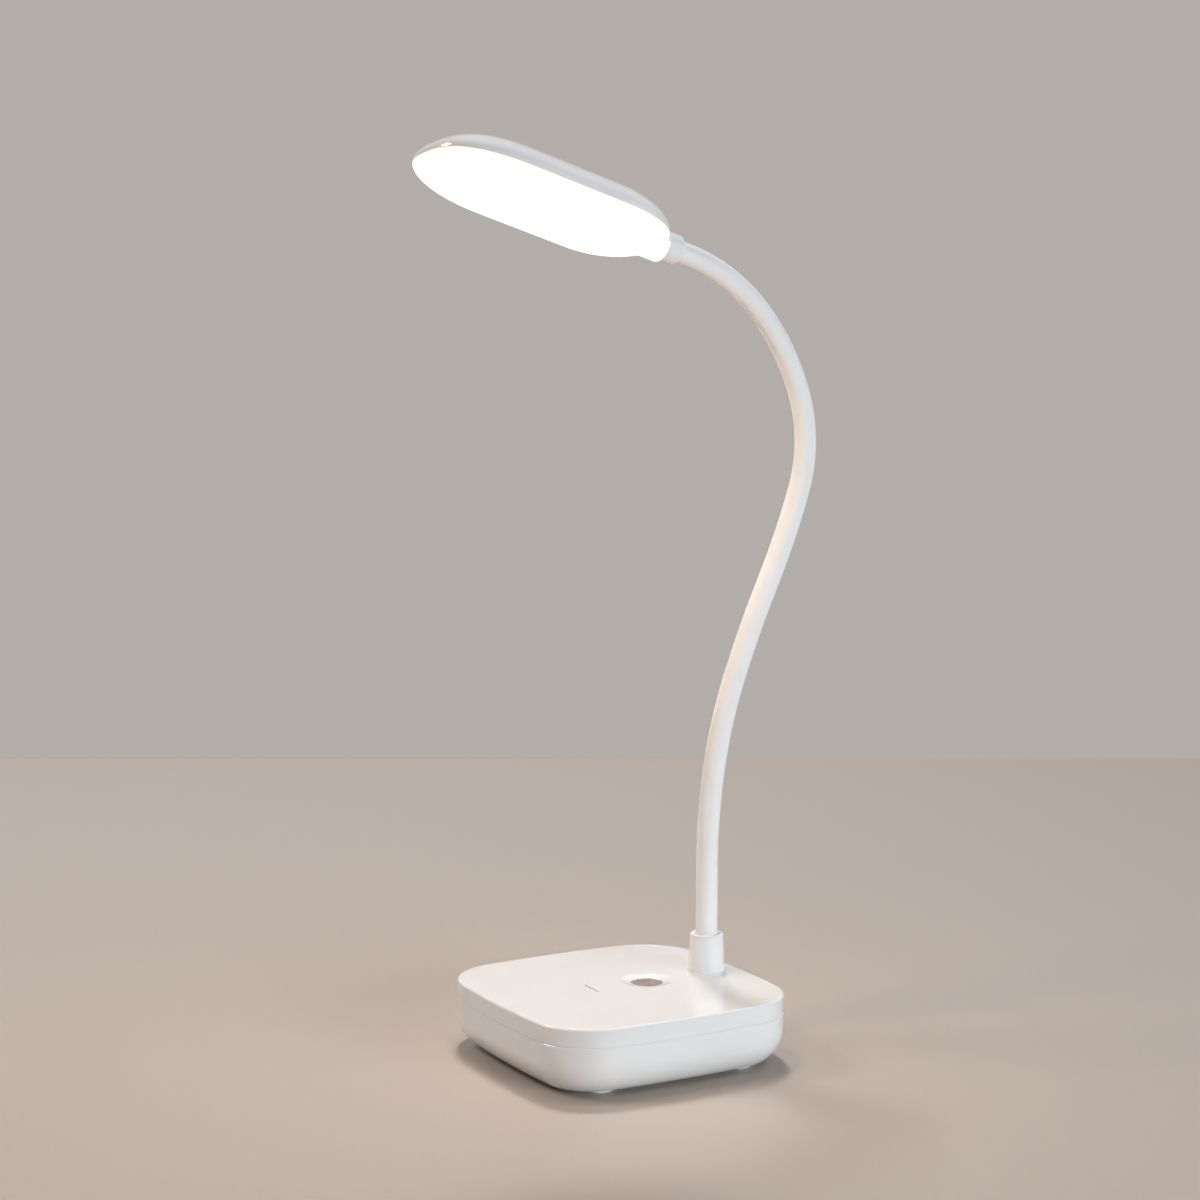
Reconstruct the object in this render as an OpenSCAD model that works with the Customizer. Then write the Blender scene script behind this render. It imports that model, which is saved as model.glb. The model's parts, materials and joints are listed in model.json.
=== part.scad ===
// Gooseneck desk lamp: square base with ballast and cell, bending stem, leaf-shaped lit head.
// +Z up, origin on the table at the centre of the base, +X towards the stem, the head reaches to -X.

/* [Base] */
// Width and depth of the square base
base_size = 110; // [104:1:130]
// Height of the base's top face above the table
base_height = 27.5; // [26.5:0.5:34]
// Radius of the base's upright corners
base_corner = 24.7; // [20:0.1:30]
// Radius of the gently bowed sides
base_bow = 427; // [300:1:900]
// Wall of the base's shells
base_wall = 2; // [1.6:0.1:2.4]
// Depth of the seam between the two shells below the top face
seam_depth = 7.4; // [6:0.1:9]
// Gap left open at the seam
seam_gap = 0.2; // [0.1:0.05:0.6]
// Radius of the rounded top edge
top_edge = 1; // [0.4:0.1:1.5]
// Radius of the curl that draws the underside in
curl_radius = 14.6; // [13:0.1:17]
// Height of the curl
curl_height = 12; // [9:0.5:12.5]

/* [Feet] */
// Diameter of a foot
foot_diameter = 11; // [8:0.5:13]
// How far a foot stands out of the base
foot_height = 2; // [1.5:0.1:3]
// Depth of the recess that holds a foot
foot_recess = 0.8; // [0.5:0.1:1.2]
// Distance of the feet from the centre, towards the stem
foot_x = 31; // [28:0.5:33]
// Distance of the feet from the centre, sideways
foot_y = 38.5; // [34:0.5:39.5]

/* [Button and indicator] */
// Diameter of the button
button_diameter = 12.4; // [9:0.1:14]
// Distance of the button from the base's centre
button_x = 13; // [8:0.5:16]
// Travel of the button
button_travel = 0.5; // [0.3:0.1:0.8]
// Diameter of the dish round the button
dish_diameter = 20; // [18:0.5:22]
// Depth of the dish
dish_depth = 1.5; // [1:0.1:1.6]
// Length of the indicator slot
slot_length = 11.6; // [8:0.1:14]
// Width of the indicator slot
slot_width = 0.9; // [0.6:0.1:1.4]
// Distance of the indicator slot from the base's centre, away from the stem
slot_x = 12.3; // [8:0.1:14]

/* [Stem] */
// Distance of the stem from the base's centre
stem_x = 41; // [39:0.5:42]
// Diameter of the stem's sleeve
sleeve_diameter = 8.8; // [7.6:0.1:10]
// Diameter of the steel hose in the sleeve
hose_diameter = 6; // [5:0.1:6.6]
// Diameter of the twin lead in the hose
lead_diameter = 2.4; // [1.8:0.1:2.8]
// Length of one stretch of the stem between two bends
stretch_length = 39.26; // [32:0.1:46]
// Turn of each stretch towards the front, in degrees, from the base up
stretch_turns = [0, -9, -11.3, -5, 7.2, 36.3, 24.1, 29.9];
// Straight end of the stem that the head takes in
stem_tail = 15; // [13:0.5:17]
// Height of the collar on the base
collar_height = 16; // [12:0.5:20]
// Diameter of the collar at its root
collar_root = 14.5; // [13.5:0.1:17]
// Diameter of the collar at its rim
collar_rim = 13.7; // [12.6:0.1:16]
// Depth to which the collar holds the sleeve
collar_hold = 12; // [8:0.5:14]

/* [Head] */
// Length of the head
head_length = 105.2; // [100:0.1:115]
// Width of the head
head_width = 56; // [52:0.5:64]
// Height of the upper shell above the seam
shell_height = 12.9; // [11.5:0.1:15]
// Depth of the diffuser below the seam
diffuser_depth = 12; // [11:0.1:14]
// Wall of the head's shells
head_wall = 1.5; // [1.2:0.1:1.8]
// Length of the rounded tip
tip_reach = 37; // [30:0.5:42]
// Length of the rounded neck end
neck_reach = 32; // [30:0.5:36]
// Turn of the head about the stem's end, in degrees
head_roll = 8.5; // [0:0.5:20]
// Diameter of the collar at the head
head_collar_diameter = 12.2; // [11.8:0.1:13]
// Length of that collar outside the head
head_collar_length = 8.2; // [6.5:0.1:8.5]
// Number of rows of light sources along the head
led_rows = 10; // [6:1:11]

/* [Inside] */
// Diameter of the rechargeable cell
cell_diameter = 18.3; // [14:0.1:18.5]
// Length of the rechargeable cell
cell_length = 50; // [40:1:56]
// Thickness of the steel ballast
ballast_thickness = 4; // [2:0.5:4]
// Thickness of the circuit boards
board_thickness = 1.6; // [1:0.1:1.8]
// Height of the main board's upper face above the table
board_top = 14.4; // [14:0.1:15]

/* [Hidden] */
$fn = 96;

// Clearances
slide_gap = 0.1;
push_gap = 0.15;
seat_gap = 0.05;
// Overlap of joined solids, and how far cuts run past what they cut
lap = 0.01;
over = 1;

// Levels of the base
floor_z = foot_height;
inner_floor = floor_z + base_wall;
seam_z = base_height - seam_depth;
ceiling_z = base_height - base_wall;
half = base_size / 2;

// Outline of the base: four bowed sides and four corner arcs that meet them squarely
bow_centre = base_bow - half;
bow_reach = base_bow - base_corner;
corner_at = (sqrt(2 * pow(bow_reach, 2) - pow(bow_centre, 2)) - bow_centre) / 2;
bow_half_angle = asin(corner_at / bow_reach);
side_fill = 3;
middle = corner_at + 1;
// The corners are set in by a hair and reach a little way into the sides, so that all overlap
corner_step = 0.02;
corner_lap = 0.5;

// Fills the base's outline with a wall profile: x runs from the corner's centre outwards, y is height.
// Between the corners, side and middle are filled from low to high.
module base_form(low, high) {
    for (k = [0:3]) rotate(90 * k) {
        translate([corner_at - corner_step, corner_at - corner_step, 0])
            rotate_extrude(angle = 90 - 2 * (bow_half_angle - corner_lap), start = bow_half_angle - corner_lap)
                children();
        translate([-bow_centre, 0, 0])
            rotate_extrude(angle = 2 * bow_half_angle, start = -bow_half_angle, $fn = 720)
                translate([bow_reach, 0]) {
                    children();
                    translate([-side_fill, low]) square([side_fill + lap, high - low]);
                }
    }
    translate([-middle, -middle, low]) cube([2 * middle, 2 * middle, high - low]);
}

// Wall profile of the upper shell, drawn in by the given wall
module top_profile(inset, low) {
    high = base_height - inset;
    edge = max(top_edge - inset, 0.3);
    out = base_corner - inset;
    translate([0, low]) square([out, high - edge - low]);
    translate([0, low]) square([out - edge, high - low]);
    translate([out - edge, high - edge]) circle(edge, $fn = 32);
}

// Wall profile of the lower shell, whose foot is an arc that stops at the flat underside
module bottom_profile(inset, high) {
    low = floor_z + inset;
    bend = floor_z + curl_height;
    out = base_corner - inset;
    centre = base_corner - curl_radius;
    translate([0, bend]) square([out, high - bend]);
    translate([0, low]) square([centre, high - low]);
    intersection() {
        translate([centre, bend]) circle(curl_radius - inset, $fn = 96);
        translate([0, low]) square([out, bend - low + lap]);
    }
}

// ---- base: sizes that several pieces share
dish_radius = (pow(dish_diameter / 2, 2) + pow(dish_depth, 2)) / (2 * dish_depth);
guide_depth = 2;
guide_low = ceiling_z - guide_depth;
button_proud = 0.3;
button_face = base_height - dish_depth + button_proud;
button_flange = 1;
button_sweep = button_diameter / 2 + 1.2;
// The button rests up against its guide and goes down with the switch's plunger
flange_top = guide_low - slide_gap;
plunger_top = flange_top - button_flange - 1;
switch_floor = board_top + 1;
plunger_low = switch_floor + button_travel + 0.3;
post_radius = 3.6;
top_post_low = seam_z - 1;
screw_radius = 1.25;
screw_head_radius = 2.6;
screw_head_height = 2;
screw_bite = 4;
screw_room = 0.3;
foot_seat = floor_z + foot_recess;
web_low = foot_seat + screw_head_height + 0.6;
foot_places = [for (sx = [-1, 1]) for (sy = [-1, 1]) [sx * foot_x, sy * foot_y]];
sleeve_r = sleeve_diameter / 2;
hose_r = hose_diameter / 2;
lead_r = lead_diameter / 2;
collar_top = base_height + collar_height;
sleeve_seat = collar_top - collar_hold;
lead_room = 0.5;
ferrule_r = hose_r + 0.6;
boss_height = 1;
nut_height = 3.6;
nut_radius = ferrule_r + 2.6;
washer_radius = ferrule_r + 2.9;
washer_thickness = 0.8;
nut_top = ceiling_z - boss_height - washer_thickness;
ferrule_low = nut_top - nut_height - 1.6;
board_low = board_top - board_thickness;
board_x0 = -17;
board_x1 = half - base_wall - 3.6;
board_half_y = 20;
board_margin = 4;
board_holes = [for (x = [board_x0 + board_margin, board_x1 - 2 * board_margin]) for (y = [-1, 1])
    [x, y * (board_half_y - board_margin)]];
board_post = 2.8;
board_screw_r = 0.9;
board_hole_r = board_screw_r + 0.2;
cell_r = cell_diameter / 2;
cell_x = -31;
cell_z = inner_floor + cell_r + 0.6;
cradle_y = cell_length / 2 - 6;
cradle_width = 2.4;
cradle_reach = cell_r * 0.8;
ballast_x0 = -17;
ballast_x1 = 44;
ballast_half_y = 28;
socket_width = 8.94;
socket_height = 3.26;
socket_depth = 7.4;
socket_z = board_top + socket_height / 2;
socket_face = half - 0.9;

// A flat-sided rounded bar along X, as a charging inlet is
module stadium_bar(width, height, depth) {
    straight = (width - height) / 2;
    translate([0, -straight, -height / 2]) cube([depth, 2 * straight, height]);
    for (s = [-1, 1]) translate([0, s * straight, 0]) rotate([0, 90, 0]) cylinder(h = depth, r = height / 2);
}

// An upright slot-shaped bar, as wide as the slot less the gap all round
module slot_bar(low, high, gap) {
    r = slot_width / 2 - gap;
    reach = (slot_length - slot_width) / 2;
    translate([-slot_x - r, -reach, low]) cube([2 * r, 2 * reach, high - low]);
    for (s = [-1, 1]) translate([-slot_x, s * reach, low]) cylinder(h = high - low, r = r);
}

// Tapered stem collar with a filleted root and a rounded rim
module stem_collar() {
    root_fillet = 1.2;
    rim_round = 0.8;
    root_r = collar_root / 2;
    rim_r = collar_rim / 2;
    rise = collar_height + lap;
    rim_low = rise - rim_round;
    translate([stem_x, 0, base_height - lap]) {
        rotate_extrude() {
            polygon([[0, 0], [root_r, 0], [rim_r, rim_low], [0, rim_low]]);
            translate([rim_r - rim_round, rim_low]) intersection() {
                circle(rim_round, $fn = 48);
                square(rim_round);
            }
            square([rim_r - rim_round, rise]);
            difference() {
                translate([root_r - 1, 0]) square([root_fillet + 1, root_fillet]);
                translate([root_r + root_fillet, root_fillet]) circle(root_fillet);
            }
        }
    }
}

module base_top() color("#f4f2f0") {
    difference() {
        union() {
            difference() {
                base_form(seam_z + seam_gap, base_height) top_profile(0, seam_z + seam_gap);
                base_form(seam_z - 1, ceiling_z) top_profile(base_wall, seam_z - 1);
            }
            stem_collar();
            translate([button_x, 0, guide_low])
                cylinder(h = ceiling_z - guide_low + lap, r = dish_diameter / 2);
            for (p = foot_places) translate([p[0], p[1], top_post_low])
                cylinder(h = ceiling_z - top_post_low + lap, r = post_radius);
            // Boss that the clamping nut pulls against
            translate([stem_x, 0, ceiling_z - boss_height]) cylinder(h = boss_height + lap, r = washer_radius);
        }
        // Dish, button guide and indicator slot
        translate([button_x, 0, base_height - dish_depth + dish_radius]) sphere(dish_radius, $fn = 200);
        translate([button_x, 0, guide_low - over])
            cylinder(h = base_wall + guide_depth + 2 * over, r = button_diameter / 2 + push_gap);
        slot_bar(guide_low, base_height + over, 0);
        // Bore for the stem, its ferrule and the rim's lead-in
        translate([stem_x, 0, sleeve_seat]) cylinder(h = collar_hold + over, r = sleeve_r + slide_gap);
        translate([stem_x, 0, collar_top - 0.9])
            cylinder(h = 1, r1 = sleeve_r + slide_gap, r2 = sleeve_r + slide_gap + 0.8);
        translate([stem_x, 0, ferrule_low])
            cylinder(h = sleeve_seat - ferrule_low + lap, r = ferrule_r + seat_gap);
        // Pilot holes for the screws from below
        for (p = foot_places) translate([p[0], p[1], top_post_low - over])
            cylinder(h = over + screw_bite + 1, r = screw_radius);
    }
}

module base_bottom() color("#f1efed") {
    difference() {
        union() {
            difference() {
                base_form(floor_z, seam_z) bottom_profile(0, seam_z);
                base_form(inner_floor, seam_z + over) bottom_profile(base_wall, seam_z + over);
            }
            // Upright lip that centres the upper shell
            difference() {
                lip_out = base_wall + slide_gap;
                lip_high = seam_z + 2;
                lip_low = seam_z - 2;
                base_form(lip_low, lip_high) {
                    translate([0, lip_low]) square([base_corner - lip_out, lip_high - lip_low]);
                    translate([0, lip_low]) square([base_corner - base_wall + 3 * corner_step, seam_z - lip_low]);
                }
                base_form(lip_low - over, lip_high + over)
                    translate([0, lip_low - over])
                        square([base_corner - lip_out - 1, lip_high - lip_low + 2 * over]);
            }
            for (p = foot_places) translate([p[0], p[1], floor_z + lap])
                cylinder(h = top_post_low - floor_z - lap, r = post_radius);
            for (p = board_holes) translate([p[0], p[1], inner_floor - lap])
                cylinder(h = board_low - inner_floor + lap, r = board_post);
            // Cradle ribs under the cell
            for (s = [-1, 1])
                translate([cell_x - cradle_reach, s * cradle_y - cradle_width / 2, inner_floor - lap])
                    cube([2 * cradle_reach, cradle_width, cradle_reach]);
        }
        translate([cell_x, -cradle_y - cradle_width, cell_z]) rotate([-90, 0, 0])
            cylinder(h = 2 * (cradle_y + cradle_width), r = cell_r + slide_gap);
        for (p = foot_places) translate([p[0], p[1], 0]) {
            cylinder(h = foot_seat, r = foot_diameter / 2 + slide_gap);
            cylinder(h = web_low, r = screw_head_radius + screw_room);
            translate([0, 0, web_low - over]) cylinder(h = base_height, r = screw_radius + screw_room);
        }
        for (p = board_holes) translate([p[0], p[1], board_low - screw_bite - 1])
            cylinder(h = screw_bite + 1 + over, r = board_screw_r);
        // Opening for the charging inlet
        translate([half - base_wall - 2, 0, socket_z])
            stadium_bar(socket_width + 0.6, socket_height + 0.6, base_wall + 4);
    }
}

module ballast() color("#8d9094") difference() {
    translate([ballast_x0, -ballast_half_y, inner_floor])
        cube([ballast_x1 - ballast_x0, 2 * ballast_half_y, ballast_thickness]);
    for (p = board_holes) translate([p[0], p[1], 0]) cylinder(h = base_height, r = board_post + screw_room);
    for (p = foot_places) translate([p[0], p[1], 0])
        cylinder(h = base_height, r = post_radius + 2 * screw_room);
}

terminal_height = 0.8;

module battery() color("#4f78b8") {
    terminal_r = 3.2;
    translate([cell_x, -cell_length / 2, cell_z]) rotate([-90, 0, 0]) {
        cylinder(h = cell_length, r = cell_r);
        cylinder(h = cell_length + terminal_height, r = terminal_r);
    }
}

plug_at = [board_x0 + 5, -9.5];
plug_size = [5, 5.5, 4];
stem_plug = [6, 7, 2.5];
battery_lead_r = 0.7;
battery_lead_bend = 1.2;

// Straight run and round elbow of a battery lead, in a level plane
module lead_run(x, y, turn, length)
    translate([x, y, 0]) rotate([0, 90, turn]) cylinder(h = length, r = battery_lead_r, $fn = 24);
module lead_elbow(x, y, start) translate([x, y, 0])
    rotate_extrude(angle = 90, start = start) translate([battery_lead_bend, 0]) circle(battery_lead_r, $fn = 24);

// Leads from the cell's two ends to the plug; both keep to one level
module battery_leads() color("#b03030") {
    bend = battery_lead_bend;
    from_x = cell_x + bend;
    out_y = cell_length / 2 + 1;
    turn_x = board_x0 - 1.5;
    plug_x = plug_at[0] - plug_size[0] / 2;
    for (s = [-1, 1]) {
        end_y = cell_length / 2 + (s > 0 ? terminal_height : 0) + seat_gap;
        plug_y = s * plug_at[1] + 1.5;
        translate([0, 0, board_top + plug_size[2] / 2]) mirror([0, s > 0 ? 0 : 1, 0]) {
            lead_run(cell_x, end_y, 90, out_y - end_y);
            lead_elbow(from_x, out_y, 90);
            lead_run(from_x, out_y + bend, 0, turn_x - bend - from_x);
            lead_elbow(turn_x - bend, out_y, 0);
            lead_run(turn_x, plug_y + bend, 90, out_y - plug_y - bend);
            lead_elbow(turn_x + bend, plug_y + bend, 180);
            lead_run(turn_x + bend, plug_y, 0, plug_x - turn_x - bend);
        }
    }
}

module main_board() color("#2f6b46") {
    chip = [7, 5, 1.2];
    chip_at = [23, 9];
    inductor_r = 3;
    inductor_at = [27, -12];
    resistor = [1.6, 0.9, 0.6];
    resistor_row = [-2, 14];
    resistor_pitch = 3.2;
    indicator = [3, 2, 1];
    difference() {
        translate([board_x0, -board_half_y, board_low])
            cube([board_x1 - board_x0, 2 * board_half_y, board_thickness]);
        for (p = board_holes) translate([p[0], p[1], 0]) cylinder(h = base_height, r = board_hole_r);
    }
    translate([plug_at[0] - plug_size[0] / 2, plug_at[1] - plug_size[1] / 2, board_top - lap]) cube(plug_size);
    translate([chip_at[0], chip_at[1], board_top - lap]) cube(chip);
    translate([inductor_at[0], inductor_at[1], board_top - lap]) cylinder(h = inductor_r, r = inductor_r);
    for (k = [0:5]) translate([resistor_row[0] + resistor_pitch * k, resistor_row[1], board_top - lap])
        cube(resistor);
    // Light source under the indicator's pipe
    translate([-slot_x - indicator[0] / 2, -indicator[1] / 2, board_top - lap]) cube(indicator);
    // Plug of the stem's lead
    translate([stem_x - stem_plug[0] / 2, -stem_plug[1] / 2, board_top - lap]) cube(stem_plug);
}

// Pan-head screw that points up, its head's underside at the origin
module screw(r, head_r, head_h, length) {
    cross = head_r * 1.2;
    translate([0, 0, -head_h]) difference() {
        cylinder(h = head_h, r = head_r, $fn = 48);
        for (a = [0, 90]) rotate(a) translate([-cross / 2, -0.3, -lap]) cube([cross, 0.6, head_h * 0.5]);
    }
    translate([0, 0, -lap]) cylinder(h = length + lap, r = r, $fn = 48);
}

module board_screws() color("#c9ccd0") for (p = board_holes)
    translate([p[0], p[1], board_top]) rotate([180, 0, 0])
        screw(board_screw_r - seat_gap, 1.7, 1.1, board_thickness + screw_bite);

module base_screws() color("#c9ccd0") for (p = foot_places) translate([p[0], p[1], web_low])
    screw(screw_radius - seat_gap, screw_head_radius, screw_head_height, top_post_low - web_low + screw_bite);

module usb_socket() color("#c9ccd0") {
    shell = 0.3;
    tongue = [5, 6.7, 0.7];
    translate([socket_face - socket_depth, 0, socket_z]) {
        difference() {
            stadium_bar(socket_width, socket_height, socket_depth);
            translate([1, 0, 0]) stadium_bar(socket_width - 2 * shell, socket_height - 2 * shell, socket_depth);
        }
        translate([1 - lap, -tongue[1] / 2, -tongue[2] / 2]) cube(tongue);
    }
}

switch_body = [6, 6, 3.4];
plunger_r = 1.7;

module switch() color("#2b2b2d") difference() {
    translate([button_x - switch_body[0] / 2, -switch_body[1] / 2, board_top]) cube(switch_body);
    translate([button_x, 0, switch_floor]) cylinder(h = switch_body[2], r = plunger_r + seat_gap);
}

module switch_plunger() color("#d8d4c8")
    translate([button_x, 0, plunger_low]) cylinder(h = plunger_top - plunger_low, r = plunger_r);

module button() color("#5b5f66") {
    button_r = button_diameter / 2;
    // Radius and depth of the hollowed top
    hollow = 40;
    hollow_depth = 0.25;
    translate([button_x, 0, 0]) {
        difference() {
            translate([0, 0, flange_top - lap]) cylinder(h = button_face - flange_top + lap, r = button_r);
            translate([0, 0, button_face - hollow_depth + hollow]) sphere(hollow, $fn = 200);
        }
        translate([0, 0, flange_top - button_flange]) cylinder(h = button_flange, r = button_sweep);
        translate([0, 0, plunger_top])
            cylinder(h = flange_top - button_flange - plunger_top + lap, r = plunger_r + 0.6);
    }
}

module light_pipe() color("#e8d9c4") {
    slot_bar(board_top + 1.3, base_height - 0.3, slide_gap);
    translate([-slot_x - 1.4, -slot_length / 2 - 1, ceiling_z - 1.1 - slide_gap])
        cube([2.8, slot_length + 2, 1.1]);
}

module ferrule() color("#b9bcc0") difference() {
    translate([stem_x, 0, ferrule_low]) cylinder(h = sleeve_seat - ferrule_low, r = ferrule_r);
    translate([stem_x, 0, 0]) cylinder(h = collar_top, r = lead_r + lead_room);
}

module neck_washer() color("#a9acb0") difference() {
    translate([stem_x, 0, nut_top]) cylinder(h = washer_thickness, r = washer_radius);
    translate([stem_x, 0, 0]) cylinder(h = base_height, r = ferrule_r + seat_gap);
}

module neck_nut() color("#a9acb0") difference() {
    translate([stem_x, 0, nut_top - nut_height]) cylinder(h = nut_height, r = nut_radius, $fn = 6);
    translate([stem_x, 0, 0]) cylinder(h = base_height, r = ferrule_r + seat_gap);
}

module stem_lead() color("#e9e6e0")
    translate([stem_x, 0, board_top + stem_plug[2]])
        cylinder(h = sleeve_seat - board_top - stem_plug[2], r = lead_r);

module foot(i) color("#f6f6f4") {
    edge = 0.6;
    r = foot_diameter / 2;
    translate([foot_places[i - 1][0], foot_places[i - 1][1], 0]) rotate_extrude() {
        translate([0, edge]) square([r, foot_seat - edge]);
        square([r - edge, foot_seat]);
        translate([r - edge, edge]) circle(edge, $fn = 32);
    }
}

// ---- stem: stretches of even length, each an arc, joined ball in cup
last = len(stretch_turns);
// Ball a touch under the sleeve's size, cup a little over it: together they allow 30 degrees each way
ball_r = sleeve_r - 0.05;
cup_r = sleeve_r + 0.2;
// The straight tail starts a little inside the last arc and is a touch thinner than it
tail_lap = 0.3;
tail_step = 0.03;

// Direction of the stem at a bend, in degrees from upright towards the front
function lean(i) = i == 0 ? 0 : lean(i - 1) + stretch_turns[i - 1];
// Straight distance across a stretch that turns by the angle
function reach(turn) = turn == 0 ? stretch_length : stretch_length * sin(turn / 2) / (turn / 2 * PI / 180);
// Place of each bend
function bend_at(i) = i == 0 ? [stem_x, 0, sleeve_seat]
    : bend_at(i - 1) + reach(stretch_turns[i - 1]) * heading(lean(i - 1) + stretch_turns[i - 1] / 2);
function heading(a) = [-sin(a), 0, cos(a)];

// Moves a piece to a bend and turns it so that +Z runs up the stem
module at_bend(i) translate(bend_at(i)) rotate([0, -lean(i), 0]) children();

// Section of a layer
module ring(r_out, r_in) difference() {
    circle(r_out, $fn = 64);
    if (r_in > 0) circle(r_in, $fn = 48);
}

// Sweeps a section from the origin along +Z, turning towards -X
module sweep_bend(turn) {
    arc_r = turn == 0 ? 0 : stretch_length / (abs(turn) * PI / 180);
    if (turn == 0) linear_extrude(stretch_length) children();
    else mirror([turn < 0 ? 1 : 0, 0, 0])
        translate([-arc_r, 0, 0]) rotate([90, 0, 0])
            rotate_extrude(angle = abs(turn), $fn = 720) translate([arc_r, 0]) children();
}

// One layer of a stretch: ball-ended below, cupped above; the last one runs on straight into the head
module stretch_layer(i, r_out, r_in) {
    turn = stretch_turns[i - 1];
    at_bend(i - 1) difference() {
        union() {
            sweep_bend(turn) ring(r_out, r_in);
            if (i > 1) rotate_extrude($fn = 64) intersection() {
                circle(ball_r, $fn = 128);
                translate([r_in, -sleeve_r]) square([r_out - r_in, sleeve_r]);
            }
            if (i == last) at_end(turn) translate([0, 0, -tail_lap]) linear_extrude(stem_tail + tail_lap)
                ring(r_out - tail_step, r_in > 0 ? r_in + tail_step : 0);
        }
        if (i < last) at_end(turn) sphere(cup_r, $fn = 128);
    }
}

// Moves a piece from the lower end of a stretch to its upper end
module at_end(turn) translate(reach(turn) * heading(turn / 2)) rotate([0, -turn, 0]) children();

module sleeve(i) color("#f5ece6") stretch_layer(i, sleeve_r, hose_r + seat_gap);
module hose(i) color("#a3a6aa") stretch_layer(i, hose_r, lead_r + 0.4);
module lead(i) color("#e9e6e0") stretch_layer(i, lead_r, 0);

// ---- head: x runs from the neck end to the tip, z is up through the shell
// Straight sleeve that shows between the last bend and the head's collar
neck_show = 5.8;
head_start = neck_show + head_collar_length;
spigot_r = lead_r + lead_room + 2.3;
collar_reach = 9;
ring_r = head_collar_diameter / 2 + 0.8;
ring_lip = 1;
clamp_at = 13;
clamp_length = 6;
clamp_half_y = spigot_r + 4;
clamp_wall = 1.2;
head_screw_r = 1.6;
head_screw_height = 0.8;
head_bite = 3.5;
clamp_screw_y = clamp_half_y - head_screw_r;
board_rise = 1.2;
led_board_thickness = 1.2;
board_from = 20;
led_board_inset = 3.5;
// Light sources: two columns each side of the middle, rows kept off both ends of the board
led_size = [3, 2.8, 0.7];
led_inner = 6;
led_outer = 17;
led_neck_margin = 5;
led_tip_margin = 15;
shell_power = 1.95;
diffuser_power = 1.75;
tip_power = 2.8;
neck_power = 2;
turns = 24;
rings = 9;
flat_top = 0.06;

module in_head() at_bend(last) rotate([0, 0, head_roll]) rotate([180, -90, 0])
    translate([head_start, 0, 0]) children();

tip_from = head_length - tip_reach;
function signed_pow(v, p) = sign(v) * pow(abs(v), p);
// Outline of the head, drawn in by the given wall: half turns round the tip, then round the neck end
function outline_point(k, inset) =
    let (a = k <= turns ? -90 + 180 * k / turns : -90 + 180 * (k - 1) / turns, tip = k <= turns,
         p = 2 / (tip ? tip_power : neck_power), reach = (tip ? tip_reach : neck_reach) - inset)
    [(tip ? tip_from : neck_reach) + reach * signed_pow(cos(a), p),
     (head_width / 2 - inset) * signed_pow(sin(a), p)];
// A point that shrinks from the outline towards the head's middle line as the ratio falls
function ring_point(k, ratio, inset, height) =
    let (edge = outline_point(k, inset), middle = min(max(edge[0], neck_reach), tip_from))
    [middle + (edge[0] - middle) * ratio, edge[1] * ratio, height];
// Height of a dome over the seam at a ratio of the way from the middle line to the edge
function dome(full, power, ratio) = full * pow(max(0, 1 - pow(ratio, power)), 1 / power);
// That ratio for a place in the head
function edge_ratio(x, y) =
    let (p = x > tip_from ? tip_power : neck_power, along = x > tip_from ? (x - tip_from) / tip_reach
         : x < neck_reach ? (neck_reach - x) / neck_reach : 0)
    pow(pow(along, p) + pow(abs(y) / (head_width / 2), p), 1 / p);
// Height of the shell's ceiling over a place
function shell_ceiling(x, y) = dome(shell_height - head_wall, shell_power, edge_ratio(x, y));

// Thin half of the head, above the seam for side 1 and below it for side -1, drawn in by the given inset
module head_half(side, full, power, inset) {
    n = 2 * (turns + 1);
    skins = [for (wall = [inset, inset + head_wall]) for (i = [0:rings])
        let (ratio = flat_top + (1 - flat_top) * sin(90 * i / rings))
            for (k = [0:n - 1]) ring_point(k, ratio, wall, side * dome(full + inset - wall, power, ratio))];
    inner = n * (rings + 1);
    outer_faces = [for (i = [0:rings - 1]) for (k = [0:n - 1])
        let (a = i * n + k, b = i * n + (k + 1) % n)
            for (t = [[a, a + n, b + n], [a, b + n, b]]) t];
    cap = [for (k = [1:n - 2]) [0, k, k + 1]];
    rim = rings * n;
    rim_faces = [for (k = [0:n - 1]) let (a = rim + k, b = rim + (k + 1) % n)
        for (t = [[a, a + inner, b + inner], [a, b + inner, b]]) t];
    skin = concat(outer_faces, cap);
    faces = concat(skin, rim_faces, [for (t = skin) [t[2] + inner, t[1] + inner, t[0] + inner]]);
    polyhedron(skins, side > 0 ? [for (t = faces) [t[2], t[1], t[0]]] : faces);
}

// Posts under the shell's ceiling that take the board's screws, and two for the clamp
post_r = 2.2;
post_near = 30;
post_far = 8;
post_side = 12;
post_places = [for (x = [post_near, tip_from + post_far]) for (y = [-1, 1]) [x, y * post_side]];
clamp_places = [for (y = [-1, 1]) [clamp_at + clamp_length / 2, y * clamp_screw_y]];

module shell_post(place, low) {
    top = shell_ceiling(place[0], abs(place[1]) + post_r) + head_wall * 0.4;
    translate([place[0], place[1], low]) cylinder(h = top - low, r = post_r, $fn = 48);
}

// Room for the collar in the neck end of the shell and the diffuser
module collar_room() rotate([0, 90, 0]) {
    translate([0, 0, -head_collar_length]) cylinder(h = head_collar_length + collar_reach + seat_gap,
        r = head_collar_diameter / 2 + seat_gap);
}

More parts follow.
